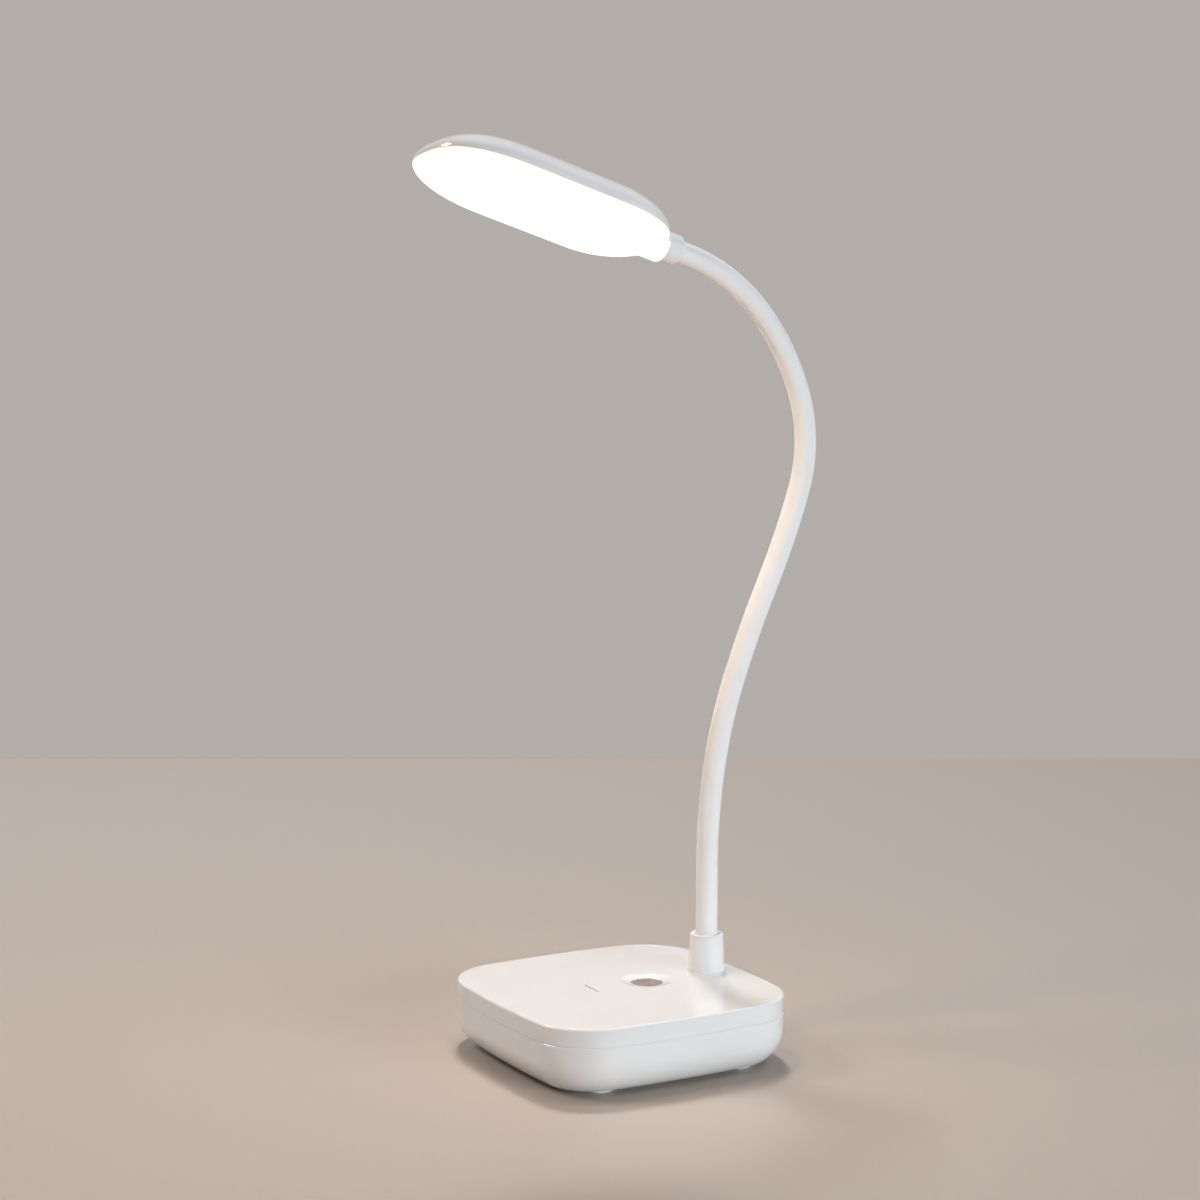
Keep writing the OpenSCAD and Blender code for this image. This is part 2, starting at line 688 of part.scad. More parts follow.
// Half of the ring that the head's two halves close round the collar
module collar_ring(side) {
    edge = 0.8;
    reach = ring_r + over;
    length = ring_lip + collar_reach;
    translate([-ring_lip, 0, 0]) intersection() {
        rotate([0, 90, 0]) rotate_extrude() {
            translate([0, edge]) square([ring_r, length - edge]);
            square([ring_r - edge, length]);
            translate([ring_r - edge, edge]) circle(edge, $fn = 32);
        }
        translate([-over, -reach, side > 0 ? seat_gap : -reach - seat_gap])
            cube([length + 2 * over, 2 * reach, reach]);
    }
}

module head_shell() color("#f7f5f3") in_head() difference() {
    union() {
        translate([0, 0, seat_gap]) head_half(1, shell_height, shell_power, 0);
        collar_ring(1);
        for (p = post_places) shell_post(p, board_rise + led_board_thickness);
        for (p = clamp_places) shell_post(p, seat_gap);
    }
    collar_room();
    for (p = post_places) translate([p[0], p[1], 0])
        cylinder(h = board_rise + led_board_thickness + head_bite + 0.5, r = board_screw_r, $fn = 32);
    for (p = clamp_places) translate([p[0], p[1], -over])
        cylinder(h = over + head_bite + 0.5, r = board_screw_r, $fn = 32);
}

module diffuser() color("#fff8ee") in_head() difference() {
    union() {
        translate([0, 0, -seat_gap]) head_half(-1, diffuser_depth, diffuser_power, 0.3);
        collar_ring(-1);
    }
    collar_room();
}

module head_collar() color("#f4f2f0") in_head() rotate([0, 90, 0]) difference() {
    union() {
        rotate_extrude() {
            edge = 1.2;
            r = head_collar_diameter / 2;
            translate([0, -head_collar_length + edge]) square([r, head_collar_length - edge + collar_reach]);
            translate([0, -head_collar_length]) square([r - edge, head_collar_length]);
            translate([r - edge, edge - head_collar_length]) circle(edge, $fn = 48);
        }
        cylinder(h = clamp_at + clamp_length, r = spigot_r);
    }
    translate([0, 0, -head_start - stem_tail]) cylinder(h = 2 * stem_tail, r = sleeve_r + seat_gap);
    translate([0, 0, stem_tail - head_start - lap]) cylinder(h = head_length, r = lead_r + lead_room);
}

module collar_clamp() color("#e4e2df") in_head() difference() {
    translate([clamp_at, -clamp_half_y, -spigot_r - clamp_wall])
        cube([clamp_length, 2 * clamp_half_y, spigot_r + clamp_wall]);
    translate([clamp_at - over, 0, 0]) rotate([0, 90, 0])
        cylinder(h = clamp_length + 2 * over, r = spigot_r + seat_gap);
    for (p = clamp_places) translate([p[0], p[1], -spigot_r - clamp_wall - over])
        cylinder(h = 2 * spigot_r + 2 * over, r = board_hole_r, $fn = 32);
}

// Board outline inside the shell, cut square at the neck end
module led_board() color("#d9dcdf") in_head() {
    n = 2 * (turns + 1);
    difference() {
        translate([0, 0, board_rise]) linear_extrude(led_board_thickness) intersection() {
            polygon([for (k = [0:n - 1]) outline_point(k, led_board_inset)]);
            translate([board_from, -head_width / 2]) square([head_length, head_width]);
        }
        for (p = post_places) translate([p[0], p[1], 0])
            cylinder(h = board_rise + led_board_thickness + over, r = board_hole_r, $fn = 32);
    }
}

module leds() color("#ffe9a8") in_head() {
    from = board_from + led_neck_margin;
    pitch = (head_length - led_tip_margin - from) / (led_rows - 1);
    for (k = [0:led_rows - 1]) for (y = [-led_outer, -led_inner, led_inner, led_outer])
        if (edge_ratio(from + k * pitch, y) < 0.82)
            translate([from + k * pitch - led_size[0] / 2, y - led_size[1] / 2, board_rise - led_size[2]])
                cube(led_size);
}

// Screw of the head, through a plate into its post
module head_screw(plate) screw(board_screw_r - seat_gap, head_screw_r, head_screw_height, plate + head_bite);

module head_screws() color("#c9ccd0") in_head() {
    for (p = post_places) translate([p[0], p[1], board_rise])
        head_screw(led_board_thickness);
    for (p = clamp_places) translate([p[0], p[1], -spigot_r - clamp_wall])
        head_screw(spigot_r + clamp_wall);
}

module head_lead() color("#e9e6e0") in_head() rotate([0, 90, 0]) {
    from = stem_tail - head_start;
    translate([0, 0, from]) cylinder(h = board_from - slide_gap - from, r = lead_r);
}

base_top();
base_bottom();
ballast();
battery();
battery_leads();
main_board();
board_screws();
usb_socket();
switch();
switch_plunger();
button();
light_pipe();
ferrule();
neck_washer();
neck_nut();
stem_lead();
base_screws();
for (i = [1:4]) foot(i);
for (i = [1:last]) sleeve(i);
for (i = [1:last]) hose(i);
for (i = [1:last]) lead(i);
head_collar();
collar_clamp();
head_shell();
diffuser();
led_board();
leds();
head_screws();
head_lead();
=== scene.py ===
import json
import math

import bmesh
import bpy
from mathutils import Matrix, Vector


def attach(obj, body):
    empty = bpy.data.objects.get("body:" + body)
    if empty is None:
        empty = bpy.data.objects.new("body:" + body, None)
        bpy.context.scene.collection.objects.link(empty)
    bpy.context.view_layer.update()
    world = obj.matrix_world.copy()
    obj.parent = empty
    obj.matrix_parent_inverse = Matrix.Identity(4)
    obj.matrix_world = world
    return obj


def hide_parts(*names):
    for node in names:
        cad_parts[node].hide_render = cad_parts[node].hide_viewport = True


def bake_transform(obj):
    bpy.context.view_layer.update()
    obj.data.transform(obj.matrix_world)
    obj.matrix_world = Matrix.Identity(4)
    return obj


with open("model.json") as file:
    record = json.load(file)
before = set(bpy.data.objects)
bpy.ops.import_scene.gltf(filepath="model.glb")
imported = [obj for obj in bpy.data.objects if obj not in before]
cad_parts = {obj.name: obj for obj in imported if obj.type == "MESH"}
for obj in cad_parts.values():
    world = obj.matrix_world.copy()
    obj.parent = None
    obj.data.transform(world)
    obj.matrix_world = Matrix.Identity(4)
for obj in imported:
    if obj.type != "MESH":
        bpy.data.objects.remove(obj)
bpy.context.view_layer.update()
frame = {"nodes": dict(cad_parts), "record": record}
scene = bpy.context.scene
cadNodes = frame["nodes"]
mm = 0.001
print("frame loaded:", len(cadNodes), "nodes")


cameraSet = {
    "yaw": 29.54,  # turn of the base as the camera sees it, degrees
    "pitch": 6.37,  # how far the camera looks down, degrees
    "away": 967 * mm,  # level distance to the middle of the base
    "aside": 7.35 * mm,  # how far the base stands right of the middle
    "height": 288.5 * mm,  # above the table
    "lens": 75.0,
    "sensor": 36.0,
}


def makeCamera():
    c, s = math.cos(math.radians(cameraSet["yaw"])), math.sin(math.radians(cameraSet["yaw"]))
    p = math.radians(cameraSet["pitch"])
    right = Vector((c, -s, 0))
    ahead = Vector((s, c, 0))
    look = ahead * math.cos(p) - Vector((0, 0, math.sin(p)))
    up = right.cross(look)
    place = -ahead * cameraSet["away"] - right * cameraSet["aside"] + Vector((0, 0, cameraSet["height"]))
    data = bpy.data.cameras.new("viewCamera")
    data.lens = cameraSet["lens"]
    data.sensor_width = cameraSet["sensor"]
    data.clip_start, data.clip_end = 0.01, 50
    camera = bpy.data.objects.new("viewCamera", data)
    scene.collection.objects.link(camera)
    camera.matrix_world = Matrix((
        (right.x, up.x, -look.x, place.x),
        (right.y, up.y, -look.y, place.y),
        (right.z, up.z, -look.z, place.z),
        (0, 0, 0, 1)))
    scene.camera = camera
    return right, ahead


imageRight, imageAhead = makeCamera()
print("camera placed")


def newGroup(name, inputs, outputs):
    group = bpy.data.node_groups.new(name, "ShaderNodeTree")
    for label, kind, value in inputs:
        socket = group.interface.new_socket(label, in_out="INPUT", socket_type=kind)
        socket.default_value = value
    for label, kind in outputs:
        group.interface.new_socket(label, in_out="OUTPUT", socket_type=kind)
    return group, group.nodes.new("NodeGroupInput"), group.nodes.new("NodeGroupOutput")


def addNode(tree, kind, wires=(), **values):
    node = tree.nodes.new(kind)
    for key, value in values.items():
        setattr(node, key, value)
    for socket, source in wires:
        if isinstance(source, bpy.types.NodeSocket):
            tree.links.new(source, node.inputs[socket])
        else:
            node.inputs[socket].default_value = source
    return node


def makeMouldedSkin():
    # Faint cloudiness of a moulded part: tone, roughness and a fine height
    group, into, out = newGroup("mouldedSkin", [
        ("Colour", "NodeSocketColor", (0.8, 0.8, 0.8, 1)),
        ("Shade", "NodeSocketColor", (0.7, 0.7, 0.7, 1)),
        ("Cloud Scale", "NodeSocketFloat", 60.0),
        ("Grain Scale", "NodeSocketFloat", 2500.0),
        ("Roughness", "NodeSocketFloat", 0.3),
        ("Roughness Spread", "NodeSocketFloat", 0.05),
    ], [("Colour", "NodeSocketColor"), ("Roughness", "NodeSocketFloat"), ("Height", "NodeSocketFloat")])
    place = addNode(group, "ShaderNodeTexCoord")
    cloud = addNode(group, "ShaderNodeTexNoise", [
        ("Vector", place.outputs["Object"]), ("Scale", into.outputs["Cloud Scale"]), ("Detail", 3.0)])
    grain = addNode(group, "ShaderNodeTexNoise", [
        ("Vector", place.outputs["Object"]), ("Scale", into.outputs["Grain Scale"]), ("Detail", 2.0)])
    tone = addNode(group, "ShaderNodeMapRange", [
        ("Value", cloud.outputs["Fac"]), ("From Min", 0.35), ("From Max", 0.75)])
    mix = addNode(group, "ShaderNodeMix", data_type="RGBA")
    group.links.new(tone.outputs["Result"], mix.inputs[0])
    group.links.new(into.outputs["Colour"], mix.inputs[6])
    group.links.new(into.outputs["Shade"], mix.inputs[7])
    spread = addNode(group, "ShaderNodeMath", [(0, cloud.outputs["Fac"]), (1, 0.5)], operation="SUBTRACT")
    rough = addNode(group, "ShaderNodeMath", [
        (0, spread.outputs[0]), (1, into.outputs["Roughness Spread"]), (2, into.outputs["Roughness"])],
        operation="MULTIPLY_ADD", use_clamp=True)
    group.links.new(mix.outputs[2], out.inputs["Colour"])
    group.links.new(rough.outputs[0], out.inputs["Roughness"])
    group.links.new(grain.outputs["Fac"], out.inputs["Height"])
    return group


def makeDrawnMetal():
    # Fine lines of drawn or turned metal, along the chosen stretch
    group, into, out = newGroup("drawnMetal", [
        ("Colour", "NodeSocketColor", (0.6, 0.6, 0.6, 1)),
        ("Stretch", "NodeSocketVector", (1.0, 1.0, 0.05)),
        ("Line Scale", "NodeSocketFloat", 1500.0),
        ("Roughness", "NodeSocketFloat", 0.3),
    ], [("Colour", "NodeSocketColor"), ("Roughness", "NodeSocketFloat"), ("Height", "NodeSocketFloat")])
    place = addNode(group, "ShaderNodeTexCoord")
    stretch = addNode(group, "ShaderNodeVectorMath", [
        (0, place.outputs["Object"]), (1, into.outputs["Stretch"])], operation="MULTIPLY")
    lines = addNode(group, "ShaderNodeTexNoise", [
        ("Vector", stretch.outputs[0]), ("Scale", into.outputs["Line Scale"]), ("Detail", 4.0)])
    shade = addNode(group, "ShaderNodeMapRange", [
        ("Value", lines.outputs["Fac"]), ("To Min", 0.86), ("To Max", 1.06)])
    colour = addNode(group, "ShaderNodeVectorMath", [(0, into.outputs["Colour"])], operation="SCALE")
    group.links.new(shade.outputs["Result"], colour.inputs["Scale"])
    rough = addNode(group, "ShaderNodeMath", [
        (0, lines.outputs["Fac"]), (1, 0.18), (2, into.outputs["Roughness"])],
        operation="MULTIPLY_ADD", use_clamp=True)
    group.links.new(colour.outputs[0], out.inputs["Colour"])
    group.links.new(rough.outputs[0], out.inputs["Roughness"])
    group.links.new(lines.outputs["Fac"], out.inputs["Height"])
    return group


def makeHandling():
    # Patches where fingers have dulled a gloss
    group, into, out = newGroup("handling", [
        ("Roughness", "NodeSocketFloat", 0.2),
        ("Amount", "NodeSocketFloat", 0.1),
        ("Patch Scale", "NodeSocketFloat", 35.0),
    ], [("Roughness", "NodeSocketFloat"), ("Mask", "NodeSocketFloat")])
    place = addNode(group, "ShaderNodeTexCoord")
    patch = addNode(group, "ShaderNodeTexNoise", [
        ("Vector", place.outputs["Object"]), ("Scale", into.outputs["Patch Scale"]),
        ("Detail", 5.0), ("Roughness", 0.65)])
    mask = addNode(group, "ShaderNodeMapRange", [
        ("Value", patch.outputs["Fac"]), ("From Min", 0.52), ("From Max", 0.7)])
    rough = addNode(group, "ShaderNodeMath", [
        (0, mask.outputs["Result"]), (1, into.outputs["Amount"]), (2, into.outputs["Roughness"])],
        operation="MULTIPLY_ADD", use_clamp=True)
    group.links.new(rough.outputs[0], out.inputs["Roughness"])
    group.links.new(mask.outputs["Result"], out.inputs["Mask"])
    return group


mouldedSkin = makeMouldedSkin()
drawnMetal = makeDrawnMetal()
handling = makeHandling()


def linear(r, g, b):
    return tuple(v / 12.92 if v <= 0.04045 else ((v + 0.055) / 1.055) ** 2.4 for v in (r, g, b)) + (1.0,)


def newMaterial(name, **plain):
    material = bpy.data.materials.new(name)
    material.use_nodes = True
    shader = material.node_tree.nodes["Principled BSDF"]
    for label, value in plain.items():
        shader.inputs[label.replace("_", " ")].default_value = value
    return material, material.node_tree, shader


def addBump(tree, shader, height, strength, distance):
    bump = addNode(tree, "ShaderNodeBump", [("Height", height), ("Strength", strength), ("Distance", distance)])
    tree.links.new(bump.outputs["Normal"], shader.inputs["Normal"])


def moulded(name, colour, shade, roughness, spread=0.06, cloud=45.0, grain=2500.0, bump=0.05,
            smudge=0.0, **plain):
    material, tree, shader = newMaterial(name, **plain)
    skin = addNode(tree, "ShaderNodeGroup", node_tree=mouldedSkin)
    skin.inputs["Colour"].default_value = linear(*colour)
    skin.inputs["Shade"].default_value = linear(*shade)
    skin.inputs["Cloud Scale"].default_value = cloud
    skin.inputs["Grain Scale"].default_value = grain
    skin.inputs["Roughness"].default_value = roughness
    skin.inputs["Roughness Spread"].default_value = spread
    tree.links.new(skin.outputs["Colour"], shader.inputs["Base Color"])
    rough = skin.outputs["Roughness"]
    if smudge:
        hand = addNode(tree, "ShaderNodeGroup", node_tree=handling)
        hand.inputs["Amount"].default_value = smudge
        tree.links.new(rough, hand.inputs["Roughness"])
        rough = hand.outputs["Roughness"]
    tree.links.new(rough, shader.inputs["Roughness"])
    if bump:
        addBump(tree, shader, skin.outputs["Height"], bump, 0.00005)
    return material


def metal(name, colour, roughness, stretch=(1.0, 1.0, 0.05), lines=1500.0, bump=0.08, **plain):
    material, tree, shader = newMaterial(name, Metallic=1.0, **plain)
    drawn = addNode(tree, "ShaderNodeGroup", node_tree=drawnMetal)
    drawn.inputs["Colour"].default_value = linear(*colour)
    drawn.inputs["Stretch"].default_value = stretch
    drawn.inputs["Line Scale"].default_value = lines
    drawn.inputs["Roughness"].default_value = roughness
    tree.links.new(drawn.outputs["Colour"], shader.inputs["Base Color"])
    tree.links.new(drawn.outputs["Roughness"], shader.inputs["Roughness"])
    addBump(tree, shader, drawn.outputs["Height"], bump, 0.00003)
    return material


glossWhite = moulded("glossWhite", (0.965, 0.96, 0.955), (0.957, 0.95, 0.944), 0.14, spread=0.05, bump=0.02,
                     smudge=0.05, Coat_Weight=0.7, Coat_Roughness=0.05)
# The thin shell over the lit board glows a little
litShell = moulded("litShell", (0.965, 0.955, 0.95), (0.957, 0.945, 0.94), 0.14, spread=0.05, bump=0.02,
                   smudge=0.05, Coat_Weight=0.7, Coat_Roughness=0.05,
                   Emission_Color=linear(1.0, 0.93, 0.9), Emission_Strength=0.04)
siliconeWhite = moulded("siliconeWhite", (0.98, 0.972, 0.965), (0.972, 0.96, 0.95), 0.42, spread=0.1,
                        cloud=90.0, grain=1500.0, bump=0.0, Sheen_Weight=0.15, Sheen_Roughness=0.5)
footSilicone = moulded("footSilicone", (0.94, 0.94, 0.93), (0.9, 0.9, 0.89), 0.5, grain=3000.0, bump=0.12)
innerPlastic = moulded("innerPlastic", (0.89, 0.885, 0.87), (0.85, 0.84, 0.82), 0.45)
blackPlastic = moulded("blackPlastic", (0.17, 0.17, 0.18), (0.12, 0.12, 0.13), 0.4)
# Light pipe under the slot: its tan is partly the pipe's own tone and partly painted shade of the narrow groove
pipePlastic = moulded("pipePlastic", (0.80, 0.71, 0.62), (0.74, 0.64, 0.55), 0.3, cloud=400.0)
cellWrap = moulded("cellWrap", (0.31, 0.47, 0.72), (0.26, 0.41, 0.66), 0.22, bump=0.1, grain=700.0)
solderMask = moulded("solderMask", (0.16, 0.40, 0.25), (0.12, 0.33, 0.2), 0.3, cloud=250.0, bump=0.15)
boardWhite = moulded("boardWhite", (0.88, 0.89, 0.9), (0.84, 0.85, 0.87), 0.35, cloud=200.0)
leadWhite = moulded("leadWhite", (0.9, 0.89, 0.87), (0.85, 0.84, 0.81), 0.4)
leadRed = moulded("leadRed", (0.69, 0.18, 0.17), (0.6, 0.14, 0.13), 0.35)
ledPhosphor = moulded("ledPhosphor", (1.0, 0.87, 0.5), (0.98, 0.8, 0.4), 0.4, cloud=900.0)
steel = metal("steel", (0.64, 0.65, 0.67), 0.3)
platedSteel = metal("platedSteel", (0.79, 0.8, 0.82), 0.18, stretch=(1.0, 1.0, 1.0), lines=900.0)
buttonMetal = metal("buttonMetal", (0.93, 0.89, 0.87), 0.2, stretch=(1.0, 0.04, 1.0), lines=2600.0, bump=0.05,
                    Anisotropic=0.95, Anisotropic_Rotation=0.25)
spun = addNode(buttonMetal.node_tree, "ShaderNodeTangent", direction_type="RADIAL", axis="Z")
buttonShader = buttonMetal.node_tree.nodes["Principled BSDF"]
buttonMetal.node_tree.links.new(spun.outputs["Tangent"], buttonShader.inputs["Tangent"])


glowSet = {
    "rim": 0.12,  # share of the glow mask that is the warm rim
    "from": 0.51, "to": 0.6,  # where the cast light rises over the mask
    "cast": 26.0,  # strength of the light that falls on other things
    "seen": 0.98,  # strength that the eye and the gloss see
}


def makeDiffuserGlow():
    # Opal cover, lit from behind: full in the middle, a little warmer and weaker towards its rim
    material, tree, shader = newMaterial("diffuserGlow")
    skin = addNode(tree, "ShaderNodeGroup", node_tree=mouldedSkin)
    skin.inputs["Colour"].default_value = linear(0.78, 0.76, 0.74)
    skin.inputs["Shade"].default_value = linear(0.75, 0.73, 0.7)
    skin.inputs["Roughness"].default_value = 0.4
    tree.links.new(skin.outputs["Colour"], shader.inputs["Base Color"])
    tree.links.new(skin.outputs["Roughness"], shader.inputs["Roughness"])
    glow = addNode(tree, "ShaderNodeAttribute", attribute_name="glow")
    ramp = addNode(tree, "ShaderNodeValToRGB", [("Fac", glow.outputs["Fac"])])
    ramp.color_ramp.elements[0].position = 0.0
    ramp.color_ramp.elements[0].color = linear(0.95, 0.8, 0.68)
    ramp.color_ramp.elements[1].position = glowSet["rim"]
    ramp.color_ramp.elements[1].color = linear(1.0, 0.985, 0.97)
    path = addNode(tree, "ShaderNodeLightPath")
    direct = addNode(tree, "ShaderNodeMath", [
        (0, path.outputs["Is Camera Ray"]), (1, path.outputs["Is Glossy Ray"])], operation="MAXIMUM")
    cast = addNode(tree, "ShaderNodeRGB")
    cast.outputs[0].default_value = linear(1.0, 0.88, 0.76)
    seen = addNode(tree, "ShaderNodeMix", data_type="RGBA")
    tree.links.new(direct.outputs[0], seen.inputs[0])
    tree.links.new(cast.outputs[0], seen.inputs[6])
    tree.links.new(ramp.outputs["Color"], seen.inputs[7])
    tree.links.new(seen.outputs[2], shader.inputs["Emission Color"])
    middle = addNode(tree, "ShaderNodeMapRange", [
        ("Value", glow.outputs["Fac"]), ("From Min", glowSet["from"]), ("From Max", glowSet["to"]),
        ("To Max", glowSet["cast"])])
    strength = addNode(tree, "ShaderNodeMix", data_type="FLOAT")
    tree.links.new(direct.outputs[0], strength.inputs[0])
    tree.links.new(middle.outputs["Result"], strength.inputs[2])
    strength.inputs[3].default_value = glowSet["seen"]
    tree.links.new(strength.outputs[0], shader.inputs["Emission Strength"])
    return material


diffuserGlow = makeDiffuserGlow()

finishBySlot = {
    "white_plastic": glossWhite, "button_metal": buttonMetal, "pipe_plastic": pipePlastic,
    "white_silicone": siliconeWhite, "foot_silicone": footSilicone, "diffuser_plastic": diffuserGlow,
    "inner_plastic": innerPlastic, "black_plastic": blackPlastic, "steel": steel, "plated_steel": platedSteel,
    "cell_wrap": cellWrap, "board": solderMask, "led_board_white": boardWhite, "led_yellow": ledPhosphor,
    "lead_white": leadWhite, "lead_red": leadRed,
}
for row in frame["record"]["subparts"]:
    mesh = cadNodes[row["node"]].data
    mesh.materials.clear()
    mesh.materials.append(finishBySlot[row["material_slot"]])
print("materials made")


def objectFrom(name, verts, faces, material):
    mesh = bpy.data.meshes.new(name)
    mesh.from_pydata([tuple(v) for v in verts], [], faces)
    mesh.materials.append(material)
    made = bpy.data.objects.new(name, mesh)
    scene.collection.objects.link(made)
    return made


def tidyMesh(made, angle=32, merge=1e-7):
    # Doubles merged, faces outwards, edges sharper than the angle kept crisp
    work = bmesh.new()
    work.from_mesh(made.data)
    bmesh.ops.remove_doubles(work, verts=work.verts, dist=merge)
    bmesh.ops.recalc_face_normals(work, faces=work.faces)
    work.to_mesh(made.data)
    work.free()
    made.data.polygons.foreach_set("use_smooth", [True] * len(made.data.polygons))
    made.data.set_sharp_from_angle(angle=math.radians(angle))
    made.data.update()


def bridgeLoops(verts, faces, loops, closed=True):
    # Quads between rings of equal length, and from the last back to the first if closed
    start = len(verts)
    count = len(loops[0])
    for loop in loops:
        verts.extend(loop)
    rings = len(loops)
    for i in range(rings if closed else rings - 1):
        a, b = start + i * count, start + ((i + 1) % rings) * count
        for k in range(count):
            n = (k + 1) % count
            faces.append((a + k, a + n, b + n, b + k))
    return start


def turned(profile, centre=(0, 0), sides=128):
    # A closed section turned about an upright axis; points at radius 0 become poles
    loops = []
    for radius, height in profile:
        loops.append([(centre[0] + radius * math.cos(2 * math.pi * k / sides),
                       centre[1] + radius * math.sin(2 * math.pi * k / sides), height) for k in range(sides)])
    return loops


def arcPoints(cx, cz, radius, start, end, steps):
    return [(cx + radius * math.cos(math.radians(start + (end - start) * i / steps)),
             cz + radius * math.sin(math.radians(start + (end - start) * i / steps))) for i in range(steps + 1)]


def bakedMesh(made, name):
    # The evaluated shape as a plain mesh, with its modifiers gone
    bpy.context.view_layer.update()
    shape = bpy.data.meshes.new_from_object(made.evaluated_get(bpy.context.evaluated_depsgraph_get()))
    shape.name = name
    made.modifiers.clear()
    made.data = shape
    return made


def cutWith(made, cutters):
    for cutter in cutters:
        cut = made.modifiers.new("cut", "BOOLEAN")
        cut.operation = "DIFFERENCE"
        cut.solver = "EXACT"
        cut.object = cutter
    bakedMesh(made, made.name)
    for cutter in cutters:
        bpy.data.objects.remove(cutter)
    return made


baseSet = {
    "half": 55 * mm, "top": 27.5 * mm, "corner": 24.7 * mm, "bow": 427 * mm, "wall": 2 * mm,
    "seamLow": 20.14 * mm, "seamHigh": 20.3 * mm, "edge": 1 * mm, "seamEdge": 0.16 * mm,
    "lipInset": 0.24 * mm, "lipWide": 2.4 * mm, "lipLow": 19.4 * mm, "lipHigh": 20.8 * mm,
    "floor": 2 * mm, "curlRadius": 14.6 * mm, "curlHeight": 12 * mm, "sole": 0.5 * mm,
    "sideSteps": 22, "cornerSteps": 28,
}


def baseOutline(inset, height):
    s = baseSet
    centre, reach = s["bow"] - s["half"], s["bow"] - s["corner"]
    at = (math.sqrt(2 * reach ** 2 - centre ** 2) - centre) / 2
    half = math.asin(at / reach)
    quarter = []
    for i in range(s["sideSteps"]):
        a = -half + 2 * half * i / s["sideSteps"]
        quarter.append((-centre + (s["bow"] - inset) * math.cos(a), (s["bow"] - inset) * math.sin(a)))
    for i in range(s["cornerSteps"]):
        a = half + (math.pi / 2 - 2 * half) * i / s["cornerSteps"]
        quarter.append((at + (s["corner"] - inset) * math.cos(a), at + (s["corner"] - inset) * math.sin(a)))
    loop = []
    for k in range(4):
        c, n = ((1, 0), (0, 1), (-1, 0), (0, -1))[k]
        loop += [(c * x - n * y, n * x + c * y, height) for x, y in quarter]
    return loop


def capLoop(faces, start, count):
    faces.append(tuple(range(start, start + count)))


def makeBaseTop():
    s = baseSet
    outer = [(s["seamEdge"], s["seamHigh"]), (0, s["seamHigh"] + s["seamEdge"]), (0, s["seamHigh"] + 1 * mm)]
    outer += [(s["edge"] - x, z) for x, z in arcPoints(0, s["top"] - s["edge"], s["edge"], 0, 90, 8)]
    outer += [(s["edge"] + 0.3 * mm, s["top"]), (s["edge"] + 1.5 * mm, s["top"])]
    inner = [(s["wall"], s["seamHigh"]), (s["wall"], s["top"] - s["wall"])]
    loops = [baseOutline(i, z) for i, z in reversed(inner)] + [baseOutline(i, z) for i, z in outer]
    verts, faces = [], []
    bridgeLoops(verts, faces, loops, closed=False)
    count = len(loops[0])
    capLoop(faces, 0, count)
    capLoop(faces, len(verts) - count, count)
    shell = objectFrom("baseTopShell", verts, faces, glossWhite)
    tidyMesh(shell)
    return shell


def makeBaseBottom():
    s = baseSet
    bend = s["floor"] + s["curlHeight"]
    end = math.degrees(math.asin(s["curlHeight"] / s["curlRadius"]))
    outer = [(s["seamEdge"], s["seamLow"]), (0, s["seamLow"] - s["seamEdge"]),
             (0, s["seamLow"] - 1 * mm), (0, bend + 1 * mm)]
    outer += [(s["curlRadius"] - x, z) for x, z in arcPoints(0, bend, s["curlRadius"], 0, -end + 1.5, 20)]
    last = outer[-1][0]
    outer += [(last + s["sole"] * 0.7, s["floor"]), (last + s["sole"] * 2, s["floor"])]
    inner = [(s["wall"], s["seamLow"]), (s["wall"], bend)]
    inner += [(s["curlRadius"] - x, z) for x, z in arcPoints(0, bend, s["curlRadius"] - s["wall"], -8, -55, 6)]
    loops = [baseOutline(i, z) for i, z in reversed(inner)] + [baseOutline(i, z) for i, z in outer]
    verts, faces = [], []
    bridgeLoops(verts, faces, loops, closed=False)
    count = len(loops[0])
    capLoop(faces, 0, count)
    capLoop(faces, len(verts) - count, count)
    shell = objectFrom("baseBottomShell", verts, faces, glossWhite)
    tidyMesh(shell)
    return shell


def stadium(width, length, at, height, steps=16):
    # Upright slot outline, long along Y
    r, reach = width / 2, (length - width) / 2
    loop = []
    for sign in (1, -1):
        for i in range(steps + 1):
            a = math.pi * i / steps + (0 if sign > 0 else math.pi)
            loop.append((at[0] + r * math.cos(a), at[1] + sign * reach + r * math.sin(a), height))
    return loop


def solidFrom(name, loops, material=None):
    verts, faces = [], []
    bridgeLoops(verts, faces, loops, closed=False)
    count = len(loops[0])
    capLoop(faces, 0, count)
    capLoop(faces, len(verts) - count, count)
    made = objectFrom(name, verts, faces, material or glossWhite)
    tidyMesh(made)
    return made


dishSet = {
    "at": (13 * mm, 0), "radius": 10 * mm, "depth": 1.5 * mm, "rim": 11.4 * mm, "soft": 1.3 * mm,
    "hole": 6.35 * mm, "low": 23.5 * mm,
}
slotSet = {"at": (-12.3 * mm, 0), "width": 0.9 * mm, "length": 11.6 * mm, "chamfer": 0.14 * mm}


